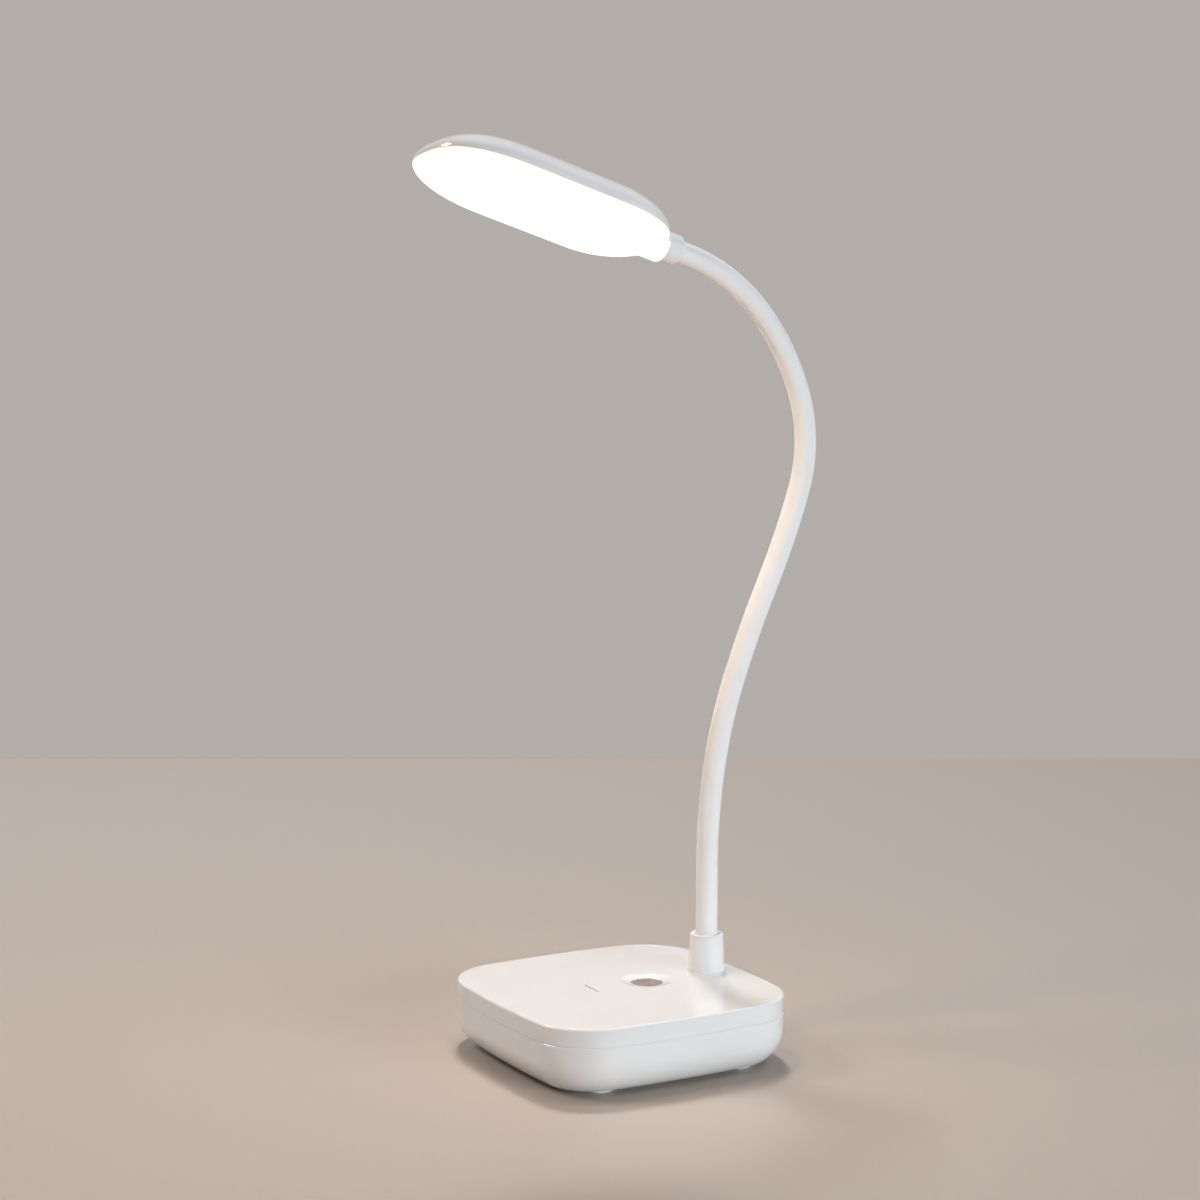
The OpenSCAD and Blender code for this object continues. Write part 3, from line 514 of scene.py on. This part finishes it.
def makeDish():
    # The hollow round the button, with a softened rim
    s, top = dishSet, baseSet["top"]
    ball = (s["radius"] ** 2 + s["depth"] ** 2) / (2 * s["depth"])

    def depthAt(r):
        return top - s["depth"] + ball - math.sqrt(ball ** 2 - r ** 2)

    inner = s["radius"] - s["soft"]
    outer = s["radius"] + s["soft"] * 0.9
    slope = inner / math.sqrt(ball ** 2 - inner ** 2)
    profile = [(s["rim"], s["low"]), (s["rim"], top), (outer, top)]
    steps = 12
    for i in range(1, steps):  # a curve that starts level and ends on the hollow's own slope
        t = 1 - i / steps
        r = inner + (outer - inner) * t
        h00, h10 = 2 * t ** 3 - 3 * t ** 2 + 1, t ** 3 - 2 * t ** 2 + t
        profile.append((r, h00 * depthAt(inner) + h10 * slope * (outer - inner) + (1 - h00) * top))
    for i in range(9):
        r = inner + (s["hole"] + 0.15 * mm - inner) * i / 8
        profile.append((r, depthAt(r)))
    profile += [(s["hole"], depthAt(s["hole"]) - 0.15 * mm), (s["hole"], s["low"])]
    verts, faces = [], []
    bridgeLoops(verts, faces, turned(profile, s["at"], 144))
    made = objectFrom("buttonDish", verts, faces, glossWhite)
    tidyMesh(made)
    return made


collarSet = {
    "at": (41 * mm, 0), "height": 16 * mm, "root": 7.25 * mm, "rim": 6.85 * mm, "fillet": 1.2 * mm,
    "round": 0.8 * mm, "bore": 4.5 * mm, "seat": 31.5 * mm, "ferrule": 3.65 * mm, "lead": 0.5 * mm,
    "sunk": 0.008 * mm,
}


def makeStemCollar():
    s, top = collarSet, baseSet["top"] - collarSet["sunk"]
    high = baseSet["top"] + s["height"]
    low = top - 0.6 * mm
    slope = (s["root"] - s["rim"]) / s["height"]
    foot = s["root"] + s["fillet"]
    profile = [(s["ferrule"], low), (foot + 0.5 * mm, low), (foot + 0.5 * mm, top), (foot + 0.05 * mm, top)]
    profile.append((foot, top))
    for angle in range(10, 91, 10):
        turn = math.radians(angle)
        profile.append((foot - s["fillet"] * math.sin(turn), top + s["fillet"] * (1 - math.cos(turn))))
    profile += [(s["root"] - slope * h * mm, top + h * mm) for h in (4, 8, 12)]
    profile += [(s["rim"] - s["round"] + x, z)
                for x, z in arcPoints(0, high - s["round"], s["round"], 0, 90, 8)]
    profile += [(s["bore"] + s["lead"] * 1.3, high), (s["bore"] + s["lead"] * 0.4, high - s["lead"] * 0.35),
                (s["bore"], high - s["lead"] * 1.3), (s["bore"], s["seat"]), (s["ferrule"], s["seat"])]
    verts, faces = [], []
    bridgeLoops(verts, faces, turned(profile, s["at"], 128))
    made = objectFrom("stemCollar", verts, faces, glossWhite)
    tidyMesh(made)
    return made


footPlaces = [(x * 31 * mm, y * 38.5 * mm) for x in (-1, 1) for y in (-1, 1)]
cutSet = {
    "low": 20 * mm, "high": 30 * mm,  # reach of the cuts through the upper shell
    "foot": 5.6 * mm, "footLow": -1 * mm, "footHigh": 2.8 * mm,  # room for each foot
}
inletSet = {
    "reach": (50 * mm, 54.4 * mm, 56 * mm), "flare": 1.4 * mm,  # outwards through the rear wall
    "high": 3.86 * mm, "wide": 9.54 * mm, "z": 16.03 * mm,
}


def makeBase():
    top = makeBaseTop()
    high = baseSet["top"]
    cutters = [
        solidFrom("dishCut", turned([(dishSet["rim"], cutSet["low"]), (dishSet["rim"], cutSet["high"])],
                                    dishSet["at"], 144)),
        solidFrom("slotCut", [
            stadium(slotSet["width"], slotSet["length"], slotSet["at"], cutSet["low"]),
            stadium(slotSet["width"], slotSet["length"], slotSet["at"], high - slotSet["chamfer"]),
            stadium(slotSet["width"] + 4 * slotSet["chamfer"], slotSet["length"] + 4 * slotSet["chamfer"],
                    slotSet["at"], high + slotSet["chamfer"])]),
        solidFrom("stemCut", turned([(collarSet["ferrule"], z) for z in (cutSet["low"], cutSet["high"])],
                                    collarSet["at"], 64)),
    ]
    cutWith(top, cutters)
    tidyMesh(top)
    bottom = makeBaseBottom()
    cutters = []
    footWall = [(cutSet["foot"], cutSet["footLow"]), (cutSet["foot"], cutSet["footHigh"])]
    for place in footPlaces:
        cutters.append(solidFrom("footCut", turned(footWall, place, 64)))
    inlet = []
    for x, grow in zip(inletSet["reach"], (0, 0, inletSet["flare"])):
        loop = stadium(inletSet["high"] + grow, inletSet["wide"] + grow, (0, 0), 0)
        inlet.append([(x, point[1], inletSet["z"] + point[0]) for point in loop])
    cutters.append(solidFrom("inletCut", inlet))
    cutWith(bottom, cutters)
    tidyMesh(bottom)
    s = baseSet
    lip = []
    for inset, height in ((s["lipInset"], s["lipLow"]), (s["lipInset"], s["lipHigh"]),
                          (s["lipWide"], s["lipHigh"]), (s["lipWide"], s["lipLow"])):
        lip.append(baseOutline(inset, height))
    verts, faces = [], []
    bridgeLoops(verts, faces, lip)
    seamLip = objectFrom("seamLip", verts, faces, glossWhite)
    tidyMesh(seamLip)
    for piece in (top, makeDish(), makeStemCollar()):
        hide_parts("base_top")
        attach(piece, "base")
    for piece in (bottom, seamLip):
        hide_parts("base_bottom")
        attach(piece, "base")


makeBase()
print("base made")


def makeCopiesTree():
    # One shape set on every point, turned by the point's own turn
    tree = bpy.data.node_groups.new("copiesOnPoints", "GeometryNodeTree")
    tree.interface.new_socket("Places", in_out="INPUT", socket_type="NodeSocketGeometry")
    tree.interface.new_socket("Shape", in_out="INPUT", socket_type="NodeSocketObject")
    tree.interface.new_socket("Turn Spread", in_out="INPUT", socket_type="NodeSocketFloat")
    tree.interface.new_socket("Seed", in_out="INPUT", socket_type="NodeSocketInt")
    tree.interface.new_socket("Finish", in_out="INPUT", socket_type="NodeSocketMaterial")
    tree.interface.new_socket("Copies", in_out="OUTPUT", socket_type="NodeSocketGeometry")
    into, out = tree.nodes.new("NodeGroupInput"), tree.nodes.new("NodeGroupOutput")
    points = addNode(tree, "GeometryNodeMeshToPoints", [("Mesh", into.outputs["Places"])])
    shape = addNode(tree, "GeometryNodeObjectInfo", [("Object", into.outputs["Shape"])])
    turn = addNode(tree, "FunctionNodeRandomValue", [("Seed", into.outputs["Seed"])])
    amount = addNode(tree, "ShaderNodeMath", [(1, into.outputs["Turn Spread"])], operation="MULTIPLY")
    tree.links.new(turn.outputs["Value"], amount.inputs[0])
    around = addNode(tree, "ShaderNodeCombineXYZ")
    tree.links.new(amount.outputs[0], around.inputs["Z"])
    copies = addNode(tree, "GeometryNodeInstanceOnPoints", [
        ("Points", points.outputs["Points"]), ("Instance", shape.outputs["Geometry"]),
        ("Rotation", around.outputs[0])])
    real = addNode(tree, "GeometryNodeRealizeInstances", [("Geometry", copies.outputs["Instances"])])
    finish = addNode(tree, "GeometryNodeSetMaterial", [
        ("Geometry", real.outputs["Geometry"]), ("Material", into.outputs["Finish"])])
    tree.links.new(finish.outputs["Geometry"], out.inputs["Copies"])
    return tree


copiesOnPoints = makeCopiesTree()


def setInput(modifier, tree, label, value):
    for item in tree.interface.items_tree:
        if item.item_type == "SOCKET" and item.in_out == "INPUT" and item.name == label:
            modifier[item.identifier] = value


def makeCopies(name, places, shape, material, turnSpread=0.0, seed=7):
    made = objectFrom(name, places, [], material)
    copies = made.modifiers.new("copies", "NODES")
    copies.node_group = copiesOnPoints
    for label, value in (("Shape", shape), ("Turn Spread", turnSpread), ("Seed", seed), ("Finish", material)):
        setInput(copies, copiesOnPoints, label, value)
    bakedMesh(made, name)
    bpy.data.objects.remove(shape)
    if not made.data.materials:
        made.data.materials.append(material)
    tidyMesh(made)
    return made


footSet = {"radius": 5.5 * mm, "high": 2.8 * mm, "edge": 0.6 * mm, "dimple": 0.35 * mm, "sides": 64}


def makeFeet():
    s = footSet
    r, e = s["radius"], s["edge"]
    profile = [(0.02 * mm, s["high"]), (r - 0.1 * mm, s["high"]), (r, s["high"] - 0.1 * mm), (r, e)]
    profile += [(r - e + x, e + z) for x, z in arcPoints(0, 0, e, 0, -90, 6)][1:]
    profile += [(r * 0.62, 0.0), (r * 0.56, s["dimple"] * 0.35), (r * 0.3, s["dimple"]),
                (0.02 * mm, s["dimple"])]
    verts, faces = [], []
    loops = turned(profile, (0, 0), s["sides"])
    start = bridgeLoops(verts, faces, loops, closed=False)
    capLoop(faces, start, s["sides"])
    capLoop(faces, len(verts) - s["sides"], s["sides"])
    shape = objectFrom("footShape", verts, faces, footSilicone)
    feet = makeCopies("feet", [(x, y, 0) for x, y in footPlaces], shape, footSilicone, turnSpread=6.28)
    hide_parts("foot_1", "foot_2", "foot_3", "foot_4")
    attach(feet, "base")


contactSet = {
    "pitch": 0.5 * mm, "size": (3.2 * mm, 0.26 * mm, 0.04 * mm),
    "x": 51.6 * mm, "z": inletSet["z"], "rise": 0.36 * mm,
}


def makeContacts():
    # Gold pads on both faces of the inlet's tongue
    s = contactSet
    hx, hy, hz = (v / 2 for v in s["size"])
    ring = [(-hx, -hy), (hx, -hy), (hx, hy), (-hx, hy)]
    shape = solidFrom("padShape", [[(x, y, -hz) for x, y in ring], [(x, y, hz) for x, y in ring]], contactGold)
    places = []
    for side in (-1, 1):
        for k in range(12):
            places.append((s["x"], (k - 5.5) * s["pitch"], s["z"] + side * s["rise"]))
    pads = makeCopies("inletContacts", places, shape, contactGold)
    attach(pads, "base")


contactGold = metal("contactGold", (0.88, 0.72, 0.38), 0.2, lines=2500.0)
makeFeet()
makeContacts()
print("feet and contacts made")


buttonSet = {
    "at": (13 * mm, 0), "radius": 6.2 * mm, "face": 26.3 * mm, "hollow": 40 * mm, "deep": 0.25 * mm,
    "round": 0.22 * mm, "low": 22.4 * mm, "flange": 7.4 * mm, "flangeHigh": 23.4 * mm,
    "stemLow": 21.4 * mm, "stem": 2.3 * mm,
}


def buttonHeight(r):
    s = buttonSet
    return s["face"] - s["deep"] + s["hollow"] - math.sqrt(s["hollow"] ** 2 - r ** 2)


def makeButton():
    s = buttonSet
    profile = [(0.0, s["stemLow"]), (s["stem"], s["stemLow"]), (s["stem"], s["low"]), (s["flange"], s["low"]),
               (s["flange"], s["flangeHigh"]), (s["radius"], s["flangeHigh"])]
    edge = s["radius"] - s["round"]
    rimHeight = min(buttonHeight(edge), s["face"])
    profile += [(edge + x, z) for x, z in arcPoints(0, rimHeight - s["round"], s["round"], 0, 90, 6)]
    profile += [(edge * (1 - i / 12), buttonHeight(edge * (1 - i / 12))) for i in range(1, 13)]
    verts, faces = [], []
    bridgeLoops(verts, faces, turned(profile, s["at"], 96), closed=False)
    cap = objectFrom("buttonCap", verts, faces, buttonMetal)
    tidyMesh(cap)
    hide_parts("button")
    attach(cap, "button")


makeButton()
print("button made")


neckSet = {
    "foot": (41 * mm, 31.5 * mm), "stretch": 39.26 * mm, "turns": (0, -9, -11.3, -5, 7.2, 36.3, 24.1, 29.9),
    "tail": 15 * mm, "radius": 4.4 * mm, "wall": 1.3 * mm, "step": 0.55 * mm, "sides": 88, "bendReach": 9 * mm,
}


def neckPath():
    # Centreline points with the way they face, and the bends between the stretches
    s = neckSet
    x, z = s["foot"]
    lean = 0.0
    points, bends = [], []
    for turn in s["turns"]:
        bends.append((Vector((x, 0, z)), lean))
        steps = round(s["stretch"] / s["step"] / 2) * 2
        part = []
        for i in range(steps + 1):
            f = i / steps
            half = math.radians(turn * f) / 2
            chord = s["stretch"] * f * (math.sin(half) / half if abs(half) > 1e-9 else 1.0)
            heading = math.radians(lean) + half
            part.append(Vector((x - chord * math.sin(heading), 0, z + chord * math.cos(heading))))
        points.append(part)
        x, z = part[-1].x, part[-1].z
        lean += turn
    heading = math.radians(lean)
    tip = Vector((-math.sin(heading), 0, math.cos(heading)))
    tail = [points[-1][-1] + tip * s["tail"] * i / 10 for i in range(1, 11)]
    bends.append((points[-1][-1].copy(), lean))
    return points, tail, bends


stretches, neckTail, neckBends = neckPath()


def makeTubeTree():
    # A round tube along the piece's own edges
    tree = bpy.data.node_groups.new("tubeAlongPath", "GeometryNodeTree")
    tree.interface.new_socket("Path", in_out="INPUT", socket_type="NodeSocketGeometry")
    for label, kind in (("Radius", "NodeSocketFloat"), ("Sides", "NodeSocketInt"),
                        ("Finish", "NodeSocketMaterial")):
        tree.interface.new_socket(label, in_out="INPUT", socket_type=kind)
    tree.interface.new_socket("Tube", in_out="OUTPUT", socket_type="NodeSocketGeometry")
    into, out = tree.nodes.new("NodeGroupInput"), tree.nodes.new("NodeGroupOutput")
    path = addNode(tree, "GeometryNodeMeshToCurve", [("Mesh", into.outputs["Path"])])
    circle = addNode(tree, "GeometryNodeCurvePrimitiveCircle", [
        ("Resolution", into.outputs["Sides"]), ("Radius", into.outputs["Radius"])])
    tube = addNode(tree, "GeometryNodeCurveToMesh", [
        ("Curve", path.outputs["Curve"]), ("Profile Curve", circle.outputs["Curve"])])
    smooth = addNode(tree, "GeometryNodeSetShadeSmooth", [("Geometry", tube.outputs["Mesh"])])
    real = addNode(tree, "GeometryNodeRealizeInstances", [("Geometry", smooth.outputs["Geometry"])])
    finish = addNode(tree, "GeometryNodeSetMaterial", [
        ("Geometry", real.outputs["Geometry"]), ("Material", into.outputs["Finish"])])
    tree.links.new(finish.outputs["Geometry"], out.inputs["Tube"])
    return tree


tubeAlongPath = makeTubeTree()


def makeTube(name, points, radius, wall, sides, material):
    mesh = bpy.data.meshes.new(name)
    mesh.from_pydata([tuple(p) for p in points], [(i, i + 1) for i in range(len(points) - 1)], [])
    made = bpy.data.objects.new(name, mesh)
    scene.collection.objects.link(made)
    tube = made.modifiers.new("tube", "NODES")
    tube.node_group = tubeAlongPath
    setInput(tube, tubeAlongPath, "Radius", radius)
    setInput(tube, tubeAlongPath, "Sides", sides)
    setInput(tube, tubeAlongPath, "Finish", material)
    if wall:
        skin = made.modifiers.new("wall", "SOLIDIFY")
        skin.thickness = wall
        skin.offset = -1
    bakedMesh(made, name)
    if not made.data.materials:
        made.data.materials.append(material)
    tidyMesh(made, 50)
    return made


def makeSleeve():
    s = neckSet
    half = len(stretches[0]) // 2
    for k in range(1, 8):
        low = stretches[k - 1] if k == 1 else stretches[k - 1][half:]
        high = stretches[k][1:] + neckTail if k == 7 else stretches[k][1:half + 1]
        piece = makeTube("neckSleeve_%d" % k, low + high, s["radius"], s["wall"], s["sides"], siliconeWhite)
        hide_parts("sleeve_%d" % k, *(["sleeve_8"] if k == 7 else []))
        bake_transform(piece)


makeSleeve()
print("neck made")


headSet = {
    "length": 105.2, "width": 56.0, "shell": 12.9, "depth": 12.0, "wall": 1.5, "tip": 37.0, "neck": 32.0,
    "roll": 8.5, "start": 14.0, "tipPower": 2.8, "neckPower": 2.0, "shellPower": 1.95, "diffuserPower": 1.75,
    "halfTurn": 96, "rings": 44, "gap": 0.05, "inset": 0.3, "collar": 6.15, "collarReach": 9.05,
    "ring": 6.9, "ringFrom": -1.0, "ringReach": 9.0, "ringRound": 0.8,
}


def headMatrix():
    at, lean = neckBends[8]
    return (Matrix.Translation(at) @ Matrix.Rotation(-math.radians(lean), 4, "Y")
            @ Matrix.Rotation(math.radians(headSet["roll"]), 4, "Z")
            @ Matrix.Rotation(-math.pi / 2, 4, "Y") @ Matrix.Rotation(math.pi, 4, "X")
            @ Matrix.Translation((headSet["start"] * mm, 0, 0)) @ Matrix.Scale(mm, 4))


toHead = headMatrix()


def headOutline(inset):
    s = headSet
    points = []
    tipFrom = s["length"] - s["tip"]
    for tip in (True, False):
        power = 2 / (s["tipPower"] if tip else s["neckPower"])
        reach = (s["tip"] if tip else s["neck"]) - inset
        for i in range(s["halfTurn"] + 1):
            a = math.radians((-90 if tip else 90) + 180 * i / s["halfTurn"])
            c, n = math.cos(a), math.sin(a)
            points.append(((tipFrom if tip else s["neck"]) + reach * math.copysign(abs(c) ** power, c),
                           (s["width"] / 2 - inset) * math.copysign(abs(n) ** power, n)))
    return points


def headRing(ratio, inset, height):
    s = headSet
    ring = []
    for x, y in headOutline(inset):
        middle = min(max(x, s["neck"]), s["length"] - s["tip"])
        ring.append(Vector((middle + (x - middle) * ratio, y * ratio, height)))
    return ring


def headDome(full, power, ratio):
    return full * max(0.0, 1 - ratio ** power) ** (1 / power)


def makeHeadHalf(name, side, full, power, inset, material):
    # A thin domed half from its rim to its middle line, outside and inside
    s = headSet
    verts, faces, glow = [], [], []
    skins = []
    for wall in (inset, inset + s["wall"]):
        rings = []
        for i in range(s["rings"] + 1):
            ratio = 0.004 + 0.996 * math.sin(math.pi / 2 * i / s["rings"])
            height = headDome(full + inset - wall, power, ratio)
            rings.append(headRing(ratio, wall, side * (height + s["gap"])))
        skins.append(rings)
    outer, inner = skins
    loops = list(outer) + list(reversed(inner))
    start = bridgeLoops(verts, faces, loops, closed=False)
    count = len(loops[0])
    capLoop(faces, start, count)
    capLoop(faces, len(verts) - count, count)
    for loop in loops:
        for point in loop:
            glow.append(abs(point.z) / full)
    made = objectFrom(name, [toHead @ v for v in verts], faces, material)
    level = made.data.attributes.new("glow", "FLOAT", "POINT")
    level.data.foreach_set("value", glow)
    tidyMesh(made, 40, 1e-6)
    return made


def headCylinder(name, radius, low, high, sides=96):
    turns = [2 * math.pi * k / sides for k in range(sides)]
    loops = [[toHead @ Vector((x, radius * math.cos(a), radius * math.sin(a))) for a in turns]
             for x in (low, high)]
    return solidFrom(name, loops)


def makeRingHalf(name, side, material):
    # Half of the ring that closes round the collar
    s = headSet
    r, edge = s["ring"], s["ringRound"]
    start = s["ringFrom"]
    section = [(s["collar"], s["ringReach"]), (s["collar"], start), (r - edge, start)]
    section += [(r - edge + x, start + edge - z) for x, z in arcPoints(0, 0, edge, 90, 0, 8)][1:]
    section += [(r, 0.5 * s["ringReach"]), (r, s["ringReach"])]
    verts, faces = [], []
    loops = []
    for k in range(65):
        a = math.pi * k / 64
        loops.append([toHead @ Vector((x, radius * math.cos(a), side * (radius * math.sin(a) + s["gap"])))
                      for radius, x in section])
    first = bridgeLoops(verts, faces, loops, closed=False)
    capLoop(faces, first, len(section))
    capLoop(faces, len(verts) - len(section), len(section))
    made = objectFrom(name, verts, faces, material)
    glow = made.data.attributes.new("glow", "FLOAT", "POINT")
    glow.data.foreach_set("value", [0.5] * len(verts))
    tidyMesh(made, 40, 1e-6)
    return made


def makeHead():
    s = headSet
    shell = makeHeadHalf("headShell", 1, s["shell"], s["shellPower"], 0.0, litShell)
    cover = makeHeadHalf("diffuserCover", -1, s["depth"], s["diffuserPower"], s["inset"], diffuserGlow)
    for piece in (shell, cover):
        cutWith(piece, [headCylinder("collarCut", s["collar"], -6, s["collarReach"])])
        tidyMesh(piece, 40, 1e-6)
    upper = makeRingHalf("shellRing", 1, litShell)
    lower = makeRingHalf("diffuserRing", -1, diffuserGlow)
    for piece, node, slot in ((shell, "head_shell", "white_plastic"), (upper, "head_shell", "white_plastic"),
                              (cover, "diffuser", "diffuser_plastic"), (lower, "diffuser", "diffuser_plastic")):
        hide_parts(node)
        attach(piece, "head")


makeHead()
print("head made")


stageSet = {
    "wide": 4.0, "near": -4.0, "far": 0.668, "thick": 0.03,
    "table": (0.75, 0.7, 0.66), "wall": (0.7, 0.68, 0.66),
    "rough": 0.36, "fleckScale": 900.0, "fleck": (0.93, 1.07), "bump": (0.12, 0.0002),
    "fill": (0.9, 0.93, 1.0, 1), "fillPower": 0.02,  # weak light from all round
}


def makeTable():
    s = stageSet
    loop = [(-1, s["near"]), (1, s["near"]), (1, s["far"]), (-1, s["far"])]
    verts = []
    for z in (0, -s["thick"]):
        for side, along in loop:
            spot = imageRight * side * s["wide"] + imageAhead * along
            verts.append((spot.x, spot.y, z))
    faces = [(0, 1, 2, 3), (4, 7, 6, 5)] + [(k, k + 4, (k + 1) % 4 + 4, (k + 1) % 4) for k in range(4)]
    material, tree, shader = newMaterial("tableTop", Roughness=s["rough"])
    place = addNode(tree, "ShaderNodeTexCoord")
    fleck = addNode(tree, "ShaderNodeTexNoise", [
        ("Vector", place.outputs["Object"]), ("Scale", s["fleckScale"]), ("Detail", 3.0)])
    level = addNode(tree, "ShaderNodeMapRange", [
        ("Value", fleck.outputs["Fac"]), ("To Min", s["fleck"][0]), ("To Max", s["fleck"][1])])
    toned = addNode(tree, "ShaderNodeVectorMath", [(0, linear(*s["table"])[:3])], operation="SCALE")
    tree.links.new(level.outputs["Result"], toned.inputs["Scale"])
    tree.links.new(toned.outputs[0], shader.inputs["Base Color"])
    addBump(tree, shader, fleck.outputs["Fac"], *s["bump"])
    objectFrom("tableTop", verts, faces, material)


def makeWorld():
    # A plain wall for the eye and the gloss; its own light is weak
    world = bpy.data.worlds.new("studio")
    scene.world = world
    world.use_nodes = True
    tree = world.node_tree
    tree.nodes.clear()
    out = tree.nodes.new("ShaderNodeOutputWorld")
    path = tree.nodes.new("ShaderNodeLightPath")
    seen = addNode(tree, "ShaderNodeMath", [
        (0, path.outputs["Is Camera Ray"]), (1, path.outputs["Is Glossy Ray"])], operation="MAXIMUM")
    seen = addNode(tree, "ShaderNodeMath", [(0, seen.outputs[0]), (1, path.outputs["Is Transmission Ray"])],
                   operation="MAXIMUM")
    shown = addNode(tree, "ShaderNodeBackground", [("Color", linear(*stageSet["wall"])), ("Strength", 1.0)])
    light = addNode(tree, "ShaderNodeBackground", [
        ("Color", stageSet["fill"]), ("Strength", stageSet["fillPower"])])
    mix = addNode(tree, "ShaderNodeMixShader", [(0, seen.outputs[0])])
    tree.links.new(light.outputs[0], mix.inputs[1])
    tree.links.new(shown.outputs[0], mix.inputs[2])
    tree.links.new(mix.outputs[0], out.inputs["Surface"])


# Place to the right, ahead and up, size, power, colour, spread in degrees, and if it shows in gloss
lampSet = {
    "keyLamp": ((-0.05, 0.95, 1.95), (0.3, 0.3), 27.0, (0.985, 0.99, 1.0), 180, False),
    "leftLamp": ((-1.6, 0.2, 1.55), (0.7, 0.7), 16.0, (0.99, 0.98, 0.975), 180, True),
    "frontLamp": ((1.25, -1.2, 0.4), (0.9, 0.36), 2.9, (0.82, 0.92, 1.0), 60, False),
    "sideLamp": ((-1.5, -0.7, 0.5), (0.8, 0.5), 0.25, (1.0, 0.95, 0.9), 60, True),
}


def makeLamp(name, place, size, power, colour, spread, gloss):
    data = bpy.data.lights.new(name, "AREA")
    data.shape = "RECTANGLE"
    data.size, data.size_y = size
    data.energy = power
    data.color = colour
    data.spread = math.radians(spread)
    lamp = bpy.data.objects.new(name, data)
    scene.collection.objects.link(lamp)
    lamp.visible_glossy = gloss
    lamp.location = imageRight * place[0] + imageAhead * place[1] + Vector((0, 0, place[2]))
    lamp.rotation_euler = (Vector((0, 0, 0.12)) - lamp.location).to_track_quat("-Z", "Y").to_euler()


makeTable()
makeWorld()
for lampName, lampRow in lampSet.items():
    makeLamp(lampName, *lampRow)
scene.view_settings.view_transform = "Standard"
print("stage made")
